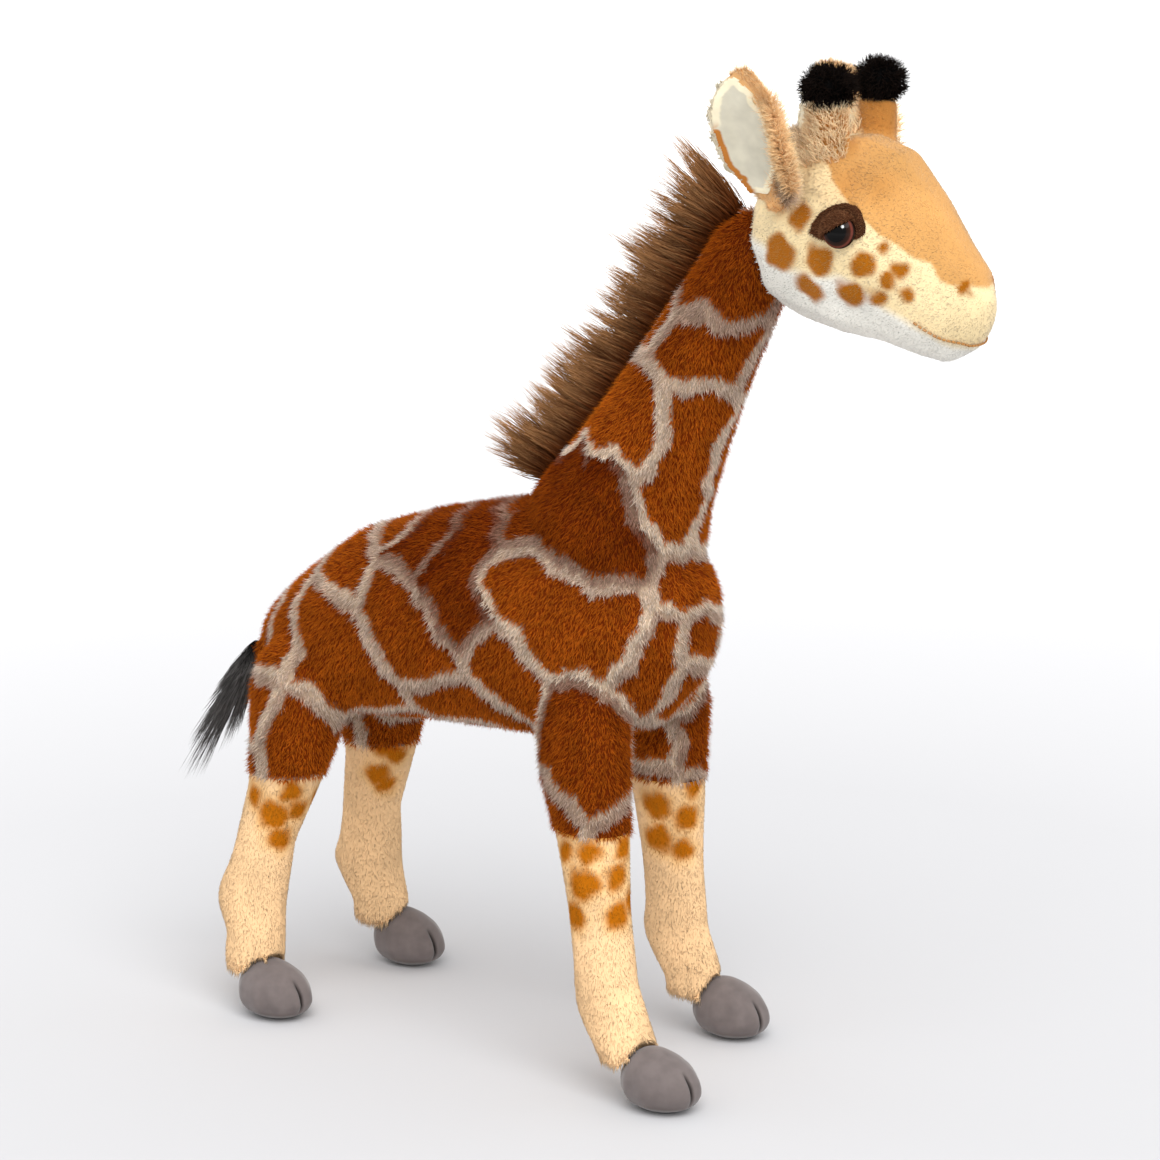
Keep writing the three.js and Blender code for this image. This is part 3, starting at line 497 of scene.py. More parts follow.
def plush(name, ground, layers, uneven, mottle=16.0, rough=0.8, sheen=0.0, tipped=1.0):
    """Dyed polyester plush: fibres dark at the root and pale at the tip, over a ground colour and up to three
    dyes whose masks the piece carries. Each colour is (root, tip), and a high tipped keeps the paleness to
    the very tip; on the coat the pale tips are a painted highlight. Fibres differ in brightness, and the coat
    is mottled where it parts, mottle mm apart."""
    made, tree = new_material(name)
    coat = add(tree, "ShaderNodeAttribute", attribute_name="Coat")
    masks = add(tree, "ShaderNodeSeparateColor", {0: coat.outputs["Color"]})
    fibre = add(tree, "ShaderNodeAttribute", attribute_name="Fibre")
    where = add(tree, "ShaderNodeSeparateColor", {0: fibre.outputs["Color"]})
    height = add(tree, "ShaderNodeMath", {0: where.outputs[0], 1: tipped}, operation="POWER").outputs[0]
    tones = [add(tree, "ShaderNodeMix", {0: height, 6: dye(root), 7: dye(tip)}, data_type="RGBA")
             for root, tip in (ground, *layers)]
    colour = tones[0].outputs[2]
    for channel, tone in enumerate(tones[1:]):
        laid = add(tree, "ShaderNodeMix", {0: masks.outputs[channel], 6: colour, 7: tone.outputs[2]},
                   data_type="RGBA")
        colour = laid.outputs[2]
    space = add(tree, "ShaderNodeTexCoord")
    cloud = add(tree, "ShaderNodeTexNoise",
                {"Vector": space.outputs["Object"], "Scale": 1 / (mottle * MM), "Detail": 2.0})
    gain = add(tree, "ShaderNodeMapRange",
               {"Value": where.outputs[1], "To Min": 1 - uneven, "To Max": 1 + uneven})
    soft = add(tree, "ShaderNodeMapRange", {"Value": cloud.outputs["Fac"], "From Min": 0.3, "From Max": 0.7,
                                            "To Min": 0.88, "To Max": 1.1})
    both = add(tree, "ShaderNodeMath", {0: gain.outputs[0], 1: soft.outputs[0]}, operation="MULTIPLY")
    final = add(tree, "ShaderNodeVectorMath", {0: colour, "Scale": both.outputs[0]}, operation="SCALE")
    shader = add(tree, "ShaderNodeBsdfPrincipled",
                 {"Base Color": final.outputs[0], "Roughness": rough, "Specular IOR Level": 0.02,
                  "Sheen Weight": sheen, "Sheen Roughness": 0.45})
    add(tree, "ShaderNodeOutputMaterial", {"Surface": shader.outputs[0]})
    return made


def dressed(piece, material, slot, *nodes):
    """Gives a piece its material and hides the CAD pieces that it stands for. slot is not used."""
    piece.data.materials.clear()
    piece.data.materials.append(material)
    if nodes:
        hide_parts(*nodes)


# Acrylic plush, printed: dull, its fibre tips coloured paler as a painted highlight that shows as bright
# streaks. Its darker brown carries the patches' own darker tones and the painted shade along their upper
# borders. It lies down and a little back, and covers the body and the upper legs.
coat_plush = plush("printed_acrylic_plush", ("#ecd2b4", "#fff3e4"),
                   [("#843404", "#e87e20"), ("#521900", "#943f06")], uneven=0.3)
coat_pile = Pile(density=1.2, length=4.3, width=0.7, lean=56, stray=0.42, unruly=13)
coat_nap = (0, 0.16, -1.0)
coat_covers = ["torso_cover", "torso_filling", "neck_cover", "neck_filling"]
leg_covers = {leg: [f"{leg}_thigh_cover", f"{leg}_shin_cover", f"{leg}_leg_filling"] for leg in legs}
fetlocks = {"front_right": 42, "front_left": 49, "hind_right": 62, "hind_left": 55}
fetlock_swell = 4.2
fetlock_waist = 2.6
fetlock_reach = 40
waist_drop = 21
chest_end = 30


def leg_part(leg):
    """Says which places, in mm, belong to a leg: under a slanting seam round its thigh, and its shin."""
    side, end = legs[leg]
    low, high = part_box(f"{leg}_thigh_cover")

    def inside(places):
        x, y, z = places.T
        depth = (side * x - hip_seat[0]) * hip_slant[0] + (z - hip_seat[1]) * hip_slant[1]
        thigh = (depth > 0) & (y > low.y / MM - thigh_margin) & (y < high.y / MM + thigh_margin)
        shin = (z < low.z / MM + shin_overlap) & (end * (y - toy_middle) > 0) & (side * x > shin_inner)
        return (thigh | shin) & (side * x > 0)
    return inside


def on_body(places):
    """True where a place, in mm, belongs to no leg."""
    return ~np.any([leg_part(leg)(places) for leg in legs], 0)


def on_neck(places):
    """True where a place, in mm, is above the root of the neck."""
    return (places * MM - np.array(joint_places["neck_bend"])) @ np.array(neck_line) > neck_root * MM


form = stuffed_skin("stuffed_form", coat_covers + [node for leg in legs for node in leg_covers[leg]],
                    voxel=2.4, inset=2.0, rounds=10)
places = places_of(form.data)
behind = np.clip(numbers(form.data.vertices, "normal", 3)[:, 1], 0, 1)
for leg, height in fetlocks.items():
    side, end = legs[leg]
    mine = (places[:, 0] * side > 0) & ((places[:, 1] - toy_middle) * end > 0)
    mine &= places[:, 2] < height + fetlock_reach
    swell = fetlock_swell * np.exp(-((places[:, 2] - height) / 13) ** 2) * behind
    waist = fetlock_waist * np.exp(-((places[:, 2] - height + waist_drop) / 7) ** 2) * behind
    places[:, 1] += mine * (swell - waist)
move_to(form.data, places * MM)
form_surface = surface(form)
face_places = numbers(form.data.polygons, "center", 3) / MM

body_skin = cut_out("body_backing", form, on_body(face_places))
paint(body_skin.data, "Coat", coat_dye_and_shade(places_of(body_skin.data)))
dressed(body_skin, coat_plush, "spotted_plush", *coat_covers)
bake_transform(body_skin)
body_parts = {
    "chest_pile": lambda places: on_body(places) & ~on_neck(places) & (places[:, 1] < chest_end),
    "rump_pile": lambda places: on_body(places) & (places[:, 1] >= chest_end),
    "neck_pile": lambda places: on_neck(places) & (places[:, 1] < chest_end),
}
for seed, (part, side) in enumerate([(part, side) for part in body_parts for side in sides], 11):
    def keep(places):
        return body_parts[part](places) & ((places[:, 0] > 0) == (side == "left"))

    pile = plant_pile(f"{part}_{side}", form, coat_pile, coat_nap, coat_dye_and_shade, seed, keep)
    dressed(pile, coat_plush, "spotted_plush")
    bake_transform(pile)


# Legs: each is a tube of two plushes sewn together at the knee, spotted above and pale beige below, with a
# few airbrushed spots under the seam. The beige pile is short, and longer in a soft cuff over the hoof.

# Short plush, brushed flat: even and soft, with hardly a streak.
beige_plush = plush("airbrushed_beige_plush", ("#eec696", "#f6d6ac"),
                    [("#e0a850", "#f2ca80"), ("#ae620a", "#d68f2a")], uneven=0.03, mottle=22.0)
shin_pile = Pile(density=1.8, length=3.0, width=0.64, lean=76, stray=0.1, unruly=3)
shin_nap = (0, 0, -1.0)
shin_spots = {
    "front_right": [(-50, -52, 121, 6.5), (-56, -52, 105, 8.5), (-48, -66, 108, 6.5), (-58, -47, 88, 7),
                    (-49, -66, 90, 7), (-60, -39, 119, 6), (-42, -70, 122, 6), (-38, -70, 96, 6)],
    "front_left": [(30, -39, 124, 8), (30, -57, 116, 7), (30, -39, 105, 8), (31, -53, 98, 6),
                   (32, -62, 132, 6), (52, -44, 124, 8), (60, -34, 106, 8), (56, -46, 92, 6)],
    "hind_right": [(-52, 131, 119, 6), (-56, 141, 107, 8.5), (-47, 128, 107, 6), (-53, 137, 92, 6.5),
                   (-60, 155, 117, 6), (-30, 126, 112, 5)],
    "hind_left": [(26, 131, 127, 6.5), (26, 138, 111, 6.5), (26, 118, 118, 6.5), (26, 130, 101, 6),
                  (54, 132, 118, 7), (57, 146, 104, 7)],
}
spot_soft = 3.4
glow_soft = 11
glow_share = 0.75
knee_rise = {"front_right": 6, "front_left": 14, "hind_right": 0, "hind_left": 0}
cuff_extra = 2.6
cuff_height = 13


def near_spots(places, spots, soft):
    """A mask that is 1 inside any of the round spots (x, y, z, radius) in mm, fading out over soft mm."""
    mask = np.zeros(len(places))
    bent = wander(places, 1.5, 6)
    for *middle, radius in spots:
        away = np.linalg.norm(bent - middle, axis=1)
        mask = np.maximum(mask, np.clip((radius - away) / soft + 0.5, 0, 1))
    return mask


for seed, leg in enumerate(legs, 21):
    in_leg = leg_part(leg)
    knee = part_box(f"{leg}_thigh_cover")[0].z / MM + knee_rise[leg]
    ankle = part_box(f"{leg}_shin_cover")[0].z / MM
    way = legs[leg][0]
    spots_here = [(*form_surface.find_nearest(Vector(middle) * MM)[0] / MM, radius)
                  for *middle, radius in shin_spots[leg]]

    def shin_dye(places):
        spots = near_spots(places, spots_here, spot_soft)
        return np.stack([glow_share * near_spots(places, spots_here, glow_soft), spots, spots * 0], 1)

    def cuff(places):
        return cuff_extra * np.clip(1 - (places[:, 2] - ankle) / cuff_height, 0, 1)

    skin = cut_out(f"{leg}_leg_backing", form, in_leg(face_places))
    places = places_of(skin.data)
    paint(skin.data, "Coat", np.where(places[:, 2:] > knee, coat_dye_and_shade(places), shin_dye(places)))
    dressed(skin, coat_plush, "spotted_plush", *leg_covers[leg])
    skin.data.materials.append(beige_plush)
    heights = numbers(skin.data.polygons, "center", 3)[:, 2] / MM
    skin.data.polygons.foreach_set("material_index", (heights < knee).astype(np.int32))
    thigh = plant_pile(f"{leg}_thigh_pile", form, coat_pile, coat_nap, coat_dye_and_shade, seed,
                       lambda places: in_leg(places) & (places[:, 2] > knee))
    dressed(thigh, coat_plush, "spotted_plush")
    shin = plant_pile(f"{leg}_shin_pile", form, shin_pile, shin_nap, shin_dye, seed + 10,
                      lambda places: in_leg(places) & (places[:, 2] <= knee), extra=cuff)
    dressed(shin, beige_plush, "beige_plush")
    for piece in (skin, thigh, shin):
        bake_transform(piece)


# Head: a tan forehead and nose panel, two cream cheek panels and a white jaw panel of very short plush,
# stuffed firmly, with the stubs of the horns. Spots, nostrils and the mouth's fold are airbrushed on.

# Borders are given by (y, z) and spots by (x, y, z, radius), in mm. A wad's size is its lower and upper
# radius and its height.
head_covers = ["forehead_cover", "right_cheek_cover", "left_cheek_cover", "jaw_cover", "head_filling"]
stub_covers = ["right_horn_stub", "left_horn_stub"]

# Sheared plush: so short and even that it looks like felt, with a slight sheen where it turns away.
head_plush = plush("airbrushed_short_plush", ("#f0d8a8", "#faeaca"),
                   [("#cc985a", "#e6bb82"), ("#ebe8de", "#fffdf6"), ("#a25e0c", "#dc9c36")],
                   uneven=0.06, mottle=30.0, sheen=0.15)
head_pile = Pile(density=1.8, length=2.2, width=0.56, lean=70, stray=0.3, unruly=5)
head_nap = (0, 1.0, -0.25)
tan_border = [(-236, 401), (-229, 403), (-220, 407), (-215, 413), (-203, 420), (-192, 427), (-175, 442),
              (-169, 449), (-164, 462), (-158, 472), (-150, 480)]
white_border = [(-232, 373), (-220, 378.5), (-210, 385), (-194, 393), (-185, 401), (-174, 406), (-160, 405),
                (-146, 407), (-135, 415), (-120, 420)]
cheek_spots = [(-35, -155, 432, 6.6), (-33, -143, 414, 9), (-35, -166, 413, 7.6), (-31, -157, 398, 7.4),
               (-34, -187, 412, 6.6), (-31, -180, 398, 7), (-29, -193, 397, 5), (-30, -199, 405, 4.4),
               (-28, -207, 400, 3.8), (-29, -203, 411, 4), (-30, -196, 420, 3.6)]
nostril_spots = [(-14, -230.5, 403.5, 3.8), (-12, -232, 402, 3.2)]
brow_shade = [(-30, -176, 447, 9), (-24, -190, 447, 8)]
mouth_line = [(-25, -209, 387), (-24, -213, 384), (-22, -219, 380.5), (-18, -225, 377.5), (-13, -229, 375.5),
              (-5, -232, 374)]
stub_low, stub_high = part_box("left_horn_stub")
stub_x = 21.5
stub_y = ((stub_low + stub_high) / 2).y / MM
stub_reach = 15
stub_foot = 454
tan_soft, white_soft = 1.5, 5
cheek_soft, nostril_soft, brow_soft = 2.8, 1.2, 14
brow_share, fold_share, stub_share = 0.3, 0.8, 0.6
fold_width = 1.3
root_wad = (15.5, 10.5, 22)
root_wad_x = 19
poll_wad = (13, 8.5, 25)
poll_wad_behind = 13
wad_sink = 7


def mirrored(spots):
    """Spots of one side and the same ones of the other."""
    return spots + [(-x, *rest) for x, *rest in spots]


def head_dye(places):
    """Tan, white and brown on the cream head, by the panels' borders and the airbrushed marks."""
    bent = wander(places, 0.8, 9)
    tan = np.clip((bent[:, 2] - np.interp(bent[:, 1], *zip(*tan_border))) / tan_soft + 0.5, 0, 1)
    white = np.clip((np.interp(bent[:, 1], *zip(*white_border)) - bent[:, 2]) / white_soft + 0.5, 0, 1)
    line = np.array(mouth_line)
    steps = np.linspace(0, 1, 12)[:, None]
    path = np.concatenate([start + (end - start) * steps for start, end in zip(line, line[1:])])
    on_right = places * np.where(places[:, :1] > 0, (-1, 1, 1), 1)
    fold = np.linalg.norm(on_right[:, None] - path, axis=-1).min(1)
    from_stub = np.hypot(np.abs(places[:, 0]) - stub_x, places[:, 1] - stub_y)
    brown = np.max([near_spots(places, mirrored(cheek_spots), cheek_soft),
                    near_spots(places, mirrored(nostril_spots), nostril_soft),
                    brow_share * near_spots(places, mirrored(brow_shade), brow_soft),
                    np.clip(fold_width - fold, 0, fold_share),
                    stub_share * fades(stub_reach - from_stub, 3) * fades(places[:, 2] - stub_foot, 14)], 0)
    return np.stack([tan, white * (1 - tan), brown], 1)


def settled(name=None, turn=None, scale=None):
    """The object just added, named, turned and scaled, with its place in its mesh."""
    made = bpy.context.object
    if turn is not None:
        made.rotation_mode = "QUATERNION"
        made.rotation_quaternion = turn
    if scale is not None:
        made.scale = scale
    bpy.ops.object.transform_apply(location=True, rotation=True, scale=True)
    if name:
        made.name = made.data.name = name
    return made


def wad_of_stuffing(x, y, foot, size):
    """A cone of stuffing that stands sunk a little under its foot."""
    low, high, tall = size
    bpy.ops.mesh.primitive_cone_add(vertices=32, radius1=low * MM, radius2=high * MM, depth=tall * MM,
                                    location=(x, y, foot + (tall / 2 - wad_sink) * MM))
    return settled()


wads = []
for side, way in sides.items():
    low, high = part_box(f"{side}_horn_stub")
    x, y = root_wad_x * MM * way, ((low + high) / 2).y
    wads.append(wad_of_stuffing(x, y, low.z, root_wad))
    wads.append(wad_of_stuffing(x, y + poll_wad_behind * MM, low.z, poll_wad))
head_skin = stuffed_skin("head_backing", head_covers + stub_covers, voxel=1.6, inset=1.0, rounds=14,
                         wads=wads)
for wad in wads:
    bpy.data.objects.remove(wad)
paint(head_skin.data, "Coat", head_dye(places_of(head_skin.data)))
dressed(head_skin, head_plush, "cream_plush", *head_covers, *stub_covers)
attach(head_skin, "head")
for seed, (side, way) in enumerate(sides.items(), 41):
    pile = plant_pile(f"head_pile_{side}", head_skin, head_pile, head_nap, head_dye, seed,
                      lambda places: places[:, 0] * way > 0)
    dressed(pile, head_plush, "cream_plush")
    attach(pile, "head")


# Fuzz of the poll: longer beige pile stands between each ear and its horn, greyer by the ear, and climbs the
# outer side of the horn. It ends at a slanting line, which lies further back on the left side.
fuzz_plush = plush("brushed_long_plush", ("#f0c088", "#fff0cc"), [("#ae9078", "#e2cdb6")], uneven=0.14,
                   mottle=9.0)
fuzz_pile = Pile(density=1.6, length=6.6, width=0.46, lean=42, stray=0.5, steps=3, curl=0.22)
poll_low, poll_high = (7, -158, 453), (38, -130, 474)
fuzz_heights = (456, 480)
fuzz_slant = 0.84
fuzz_front = {"right": 9, "left": -4}


def fuzz_dye(places):
    """Greyer towards the ear."""
    masks = undyed(places)
    masks[:, 0] = np.clip((places[:, 1] + 156) / 14, 0, 0.8)
    return masks


for seed, (side, way) in enumerate(sides.items(), 45):
    def fuzzy(places):
        outward = places * (way, 1, 1)
        x, y, z = outward.T
        on_stub = (z > fuzz_heights[0]) & (z < fuzz_heights[1])
        on_stub &= np.hypot(x - stub_x, y - stub_y) < stub_reach
        on_stub &= stub_y - y < fuzz_slant * (x - stub_x) + fuzz_front[side]
        return on_stub | ((outward > poll_low) & (outward < poll_high)).all(1)

    fuzz = plant_pile(f"{side}_poll_fuzz", head_skin, fuzz_pile, (0.6 * way, 0.3, 1), fuzz_dye, seed, fuzzy)
    dressed(fuzz, fuzz_plush, "tan_plush")
    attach(fuzz, "head")


# Mouth: short stitches of waxed thread, two-coloured where its plies turn, that draw in the fold between the
# muzzle and the jaw. They are sunk in the pile.
stitch_length = 2.6
stitch_radius = 0.55
stitch_span = (0.1, 0.85)
stitch_lift = 0.75


def speckled(name, shades, scale, inputs):
    """A material without pile, whose colour varies finely between two shades."""
    made, tree = new_material(name)
    space = add(tree, "ShaderNodeTexCoord")
    grain = add(tree, "ShaderNodeTexNoise", {"Vector": space.outputs["Object"], "Scale": scale})
    tone = add(tree, "ShaderNodeMix", {0: grain.outputs["Fac"], 6: dye(shades[0]), 7: dye(shades[1])},
               data_type="RGBA")
    shader = add(tree, "ShaderNodeBsdfPrincipled", {"Base Color": tone.outputs[2], **inputs})
    add(tree, "ShaderNodeOutputMaterial", {"Surface": shader.outputs[0]})
    return made


thread = speckled("waxed_thread", ("#7c4a12", "#c0863a"), 1200.0, {"Roughness": 0.6})
head_surface = surface(head_skin)
far_half = [(-x, y, z) for x, y, z in reversed(mouth_line)]
fold = [Vector(place) * MM for place in mouth_line + far_half]
reached = np.cumsum([0.0] + [(end - start).length for start, end in zip(fold, fold[1:])])
stitches = []
for number in range(int(reached[-1] / MM / stitch_length)):
    ends = []
    for share in stitch_span:
        at = (number + share) * stitch_length * MM
        near = Vector([np.interp(at, reached, row) for row in zip(*fold)])
        place, out = head_surface.find_nearest(near)[:2]
        ends.append(place + out * stitch_lift * MM)
    along = ends[1] - ends[0]
    bpy.ops.mesh.primitive_cylinder_add(vertices=10, radius=stitch_radius * MM, depth=along.length,
                                        location=(ends[0] + ends[1]) / 2)
    stitch = settled(turn=along.to_track_quat("Z", "Y"))
    bevel = stitch.modifiers.new("round_ends", "BEVEL")
    bevel.width = stitch_radius * 0.8 * MM
    bevel.segments = 2
    bpy.ops.object.modifier_apply(modifier="round_ends")
    stitches.append(stitch)
select_only(*stitches)
bpy.ops.object.join()
mouth = bpy.context.object
mouth.name = mouth.data.name = "mouth_stitches"
mouth.data.shade_smooth()
dressed(mouth, thread, "thread", "mouth_stitching")
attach(mouth, "head")


# Ears: leaves of the tan plush with a lining of pale velour, folded at the root and sewn into the seam of the
# head. The lining lies in the cup, with a pale border and, low behind, an orange line of painted shade where
# the seam meets the ear's lower flap.

# Brushed plush, greyer at the root, and cotton velour, which is matt with a soft glow at its edge and carries
# the orange line of painted shade in the seam.
ear_plush = plush("tan_plush", ("#eeb87c", "#ffe0b0"), [("#a4866e", "#dcc0a6"), ("#e6dbc2", "#f7eed8")],
                  uneven=0.1, mottle=14.0)
lining_velour = plush("cotton_velour", ("#d2cdba", "#dcd7c4"),
                      [("#b87430", "#d09850"), ("#f4eacb", "#f8f0d6")], uneven=0.02, mottle=9.0, sheen=0.4)
ear_pile = Pile(density=2.2, length=3.4, width=0.5, lean=58)
fringe_pile = Pile(density=1.8, length=8.5, width=0.46, lean=52, stray=0.5, steps=3, curl=0.2)
ear_root = (33, -142, 437)
grey_reach = 30
pale_edge = -8
fringe_edge = 4
fringe_top = 17
root_ring = (7, 24)
lining_width = 0.80
lining_shift = -7.0
lining_gap = 0.9
lining_lift, lining_bulge = 0.15, 0.5
seam_shade_border = 2.6
pale_border = 3.6
cup_height = 25


def clear_of(mesh, gap):
    """Says which places, in mm, are more than gap mm from a mesh."""
    built = bmesh.new()
    built.from_mesh(mesh)
    tree = BVHTree.FromBMesh(built)
    built.free()
    return lambda places: np.array([tree.find_nearest(Vector(place) * MM)[3] > gap * MM for place in places])


# Each ear has its own axes: up its leaf, to its front edge, and out of its face.
for seed, (side, way) in enumerate(sides.items(), 51):
    root = Vector((way * ear_root[0], *ear_root[1:]))
    leaf = places_of(frame["nodes"][f"{side}_ear_lining"].data)
    centre = leaf.mean(0)
    up, front, face = np.linalg.svd(leaf - centre, full_matrices=False)[2]
    up, front, face = up * np.sign(up[2]), front * -np.sign(front[1]), face * np.sign(face[0]) * way

    def ear_dye(places):
        rel = places - centre
        away = np.linalg.norm(places - root, axis=1)
        grey = fades(grey_reach - away, 14) * fades(rel @ front - 2, 6)
        pale = fades(pale_edge - rel @ front, 4) * fades(rel @ face + 5, 4)
        return np.stack([grey, pale, grey * 0], 1)

    def ear_nap(places):
        return places - root

    def fringed(places):
        rel = places - centre
        away = np.linalg.norm(places - root, axis=1)
        edge = (rel @ front > fringe_edge) & (rel @ up < fringe_top)
        return edge | ((away > root_ring[0]) & (away < root_ring[1]) & (rel @ front > 0))

    skin = stuffed_skin(f"{side}_ear_backing", [f"{side}_ear"], voxel=0.9, inset=0.6, rounds=4)
    paint(skin.data, "Coat", ear_dye(places_of(skin.data)))
    dressed(skin, ear_plush, "tan_plush", f"{side}_ear")
    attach(skin, f"{side}_ear")

    lining = stuffed_skin(f"{side}_ear_velour", [f"{side}_ear_lining"], voxel=0.6, inset=0, rounds=4)
    ear_surface = surface(skin)
    outs = numbers(lining.data.vertices, "normal", 3)
    places = places_of(lining.data)
    wide, high = (places - centre) @ front, (places - centre) @ up
    flat = np.stack([wide * lining_width, high], 1)
    side_wall = flat[np.abs(outs @ face) < 0.35]
    inward = np.array([np.linalg.norm(side_wall - spot, axis=1).min() for spot in flat])
    # Painted shade: an orange line low behind, in the seam between the lining and the ear's lower flap.
    low_behind = fades(-2 - wide, 3) * fades(6 - high, 6)
    seam_shade = fades(seam_shade_border - inward, 0.6) * low_behind
    pale = fades(pale_border - inward, 0.8) * (1 - low_behind)
    places += (wide * (lining_width - 1) + lining_shift)[:, None] * front
    for number, (place, out) in enumerate(zip(places, outs)):
        above = Vector(place + cup_height * face) * MM
        hit = ear_surface.ray_cast(above, Vector(-face))[0] or Vector(place) * MM
        lift = lining_lift + lining_bulge * np.clip(3 * out @ face, -1, 1)
        places[number] = np.array(hit) / MM + lift * face
    move_to(lining.data, places * MM)
    paint(lining.data, "Coat", np.stack([seam_shade, pale, pale * 0], 1))
    dressed(lining, lining_velour, "lining_velour", f"{side}_ear_lining")
    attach(lining, f"{side}_ear")

    beside = clear_of(lining.data, lining_gap)
    pile = plant_pile(f"{side}_ear_pile", skin, ear_pile, ear_nap, ear_dye, seed, beside)
    fringe = plant_pile(f"{side}_ear_fringe", skin, fringe_pile, ear_nap, ear_dye, seed + 2,
                        lambda places: fringed(places) & beside(places))
    for piece in (pile, fringe):
        dressed(piece, ear_plush, "tan_plush")
        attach(piece, f"{side}_ear")


# Horns: the stubs are part of the head's cover, and each ends in a round tuft of curly fur fabric, gathered
# over a core. Black fur swallows the light, so that only its tips show.
black_fur = plush("black_curled_fur", ("#040303", "#1c1410"), [], uneven=0.4, mottle=6.0, rough=0.7)
tuft_pile = Pile(density=1.8, length=6.2, width=0.48, lean=34, steps=4, curl=0.35)
swirl_span = 3.1


def tuft_nap(places):
    """Curls that turn every way."""
    x, y, z = places.T / swirl_span
    swirl = np.stack([np.sin(y + 1.7 * z), np.sin(z + 1.3 * x + 1), np.sin(x + 1.9 * y + 2)], 1)
    return swirl + np.random.default_rng(7).normal(0, 0.35, places.shape)


for seed, side in enumerate(sides, 61):
    core = stuffed_skin(f"{side}_horn_tuft_core", [f"{side}_horn_tuft"], voxel=1.4, inset=2.2, rounds=1)
    dressed(core, black_fur, "black_fur", f"{side}_horn_tuft")
    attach(core, "head")
    tuft = plant_pile(f"{side}_horn_tuft_fur", core, tuft_pile, tuft_nap, undyed, seed)
    dressed(tuft, black_fur, "black_fur")
    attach(tuft, "head")


# Eyes: moulded domes with a black pupil in a dark brown iris under a clear face, each on a shank through the
# cover. A patch of dark velvet lies round it, and its top edge hangs over the eye as a lid. The clear face
# gives one sharp glint.
eye_radius = 7.7 * MM
eye_height = 4.9 * MM
lid_gap = 0.7 * MM
lid_wall = 0.8 * MM
lid_brow = Vector((0, 0.52, 0.85))
lid_rise = 1.8 * MM
lid_depth = 1 * MM
velvet_depth = 2.6 * MM
velvet_gap = 0.3
patch_front, patch_behind = 0.62, 0.88
patch_below, patch_above = 0.4, 1.05
iris_rings = [(0.0, "#010101"), (0.60, "#030202"), (0.66, "#1e0e08"), (0.82, "#2c160c"), (0.90, "#6a3428"),
              (0.94, "#5a2c22"), (0.97, "#140806")]
eye_plastic, tree = new_material("moulded_eye")
iris = add(tree, "ShaderNodeAttribute", attribute_name="Iris")
span = add(tree, "ShaderNodeSeparateColor", {0: iris.outputs["Color"]})
space = add(tree, "ShaderNodeTexCoord")
grain = add(tree, "ShaderNodeTexNoise", {"Vector": space.outputs["Object"], "Scale": 900.0})
ramp = add(tree, "ShaderNodeValToRGB", {"Fac": span.outputs[0]})
for number, (at, colour) in enumerate(iris_rings):
    stop = ramp.color_ramp.elements[number] if number < 2 else ramp.color_ramp.elements.new(at)
    stop.position = at
    stop.color = dye(colour)
speck = add(tree, "ShaderNodeMapRange", {"Value": grain.outputs["Fac"], "To Min": 0.8, "To Max": 1.2})
tinted = add(tree, "ShaderNodeVectorMath", {0: ramp.outputs[0], "Scale": speck.outputs[0]}, operation="SCALE")
shader = add(tree, "ShaderNodeBsdfPrincipled",
             {"Base Color": tinted.outputs[0], "Roughness": 0.5, "Specular IOR Level": 0.0,
              "Coat Weight": 0.25, "Coat Roughness": 0.03})
add(tree, "ShaderNodeOutputMaterial", {"Surface": shader.outputs[0]})
eye_velvet = plush("dark_velvet", ("#4a2a18", "#8e6244"), [], uneven=0.3, mottle=5.0)
velvet_pile = Pile(density=4.0, length=2.0, width=0.36, lean=50, stray=0.4)
velvet_nap = (0, 0.9, -0.5)


def list_by_place(mesh):
    """Lists the corners and faces of a mesh by their places. Blender adds a sphere with its faces in another
    order each run, and the velvet would be scattered differently over them."""
    places = sorted(tuple(vertex.co) for vertex in mesh.vertices)
    number = {place: count for count, place in enumerate(places)}
    faces = []
    for face in mesh.polygons:
        corners = [number[tuple(mesh.vertices[corner].co)] for corner in face.vertices]
        first = corners.index(min(corners))
        faces.append(corners[first:] + corners[:first])
    mesh.clear_geometry()
    mesh.from_pydata(places, [], sorted(faces))


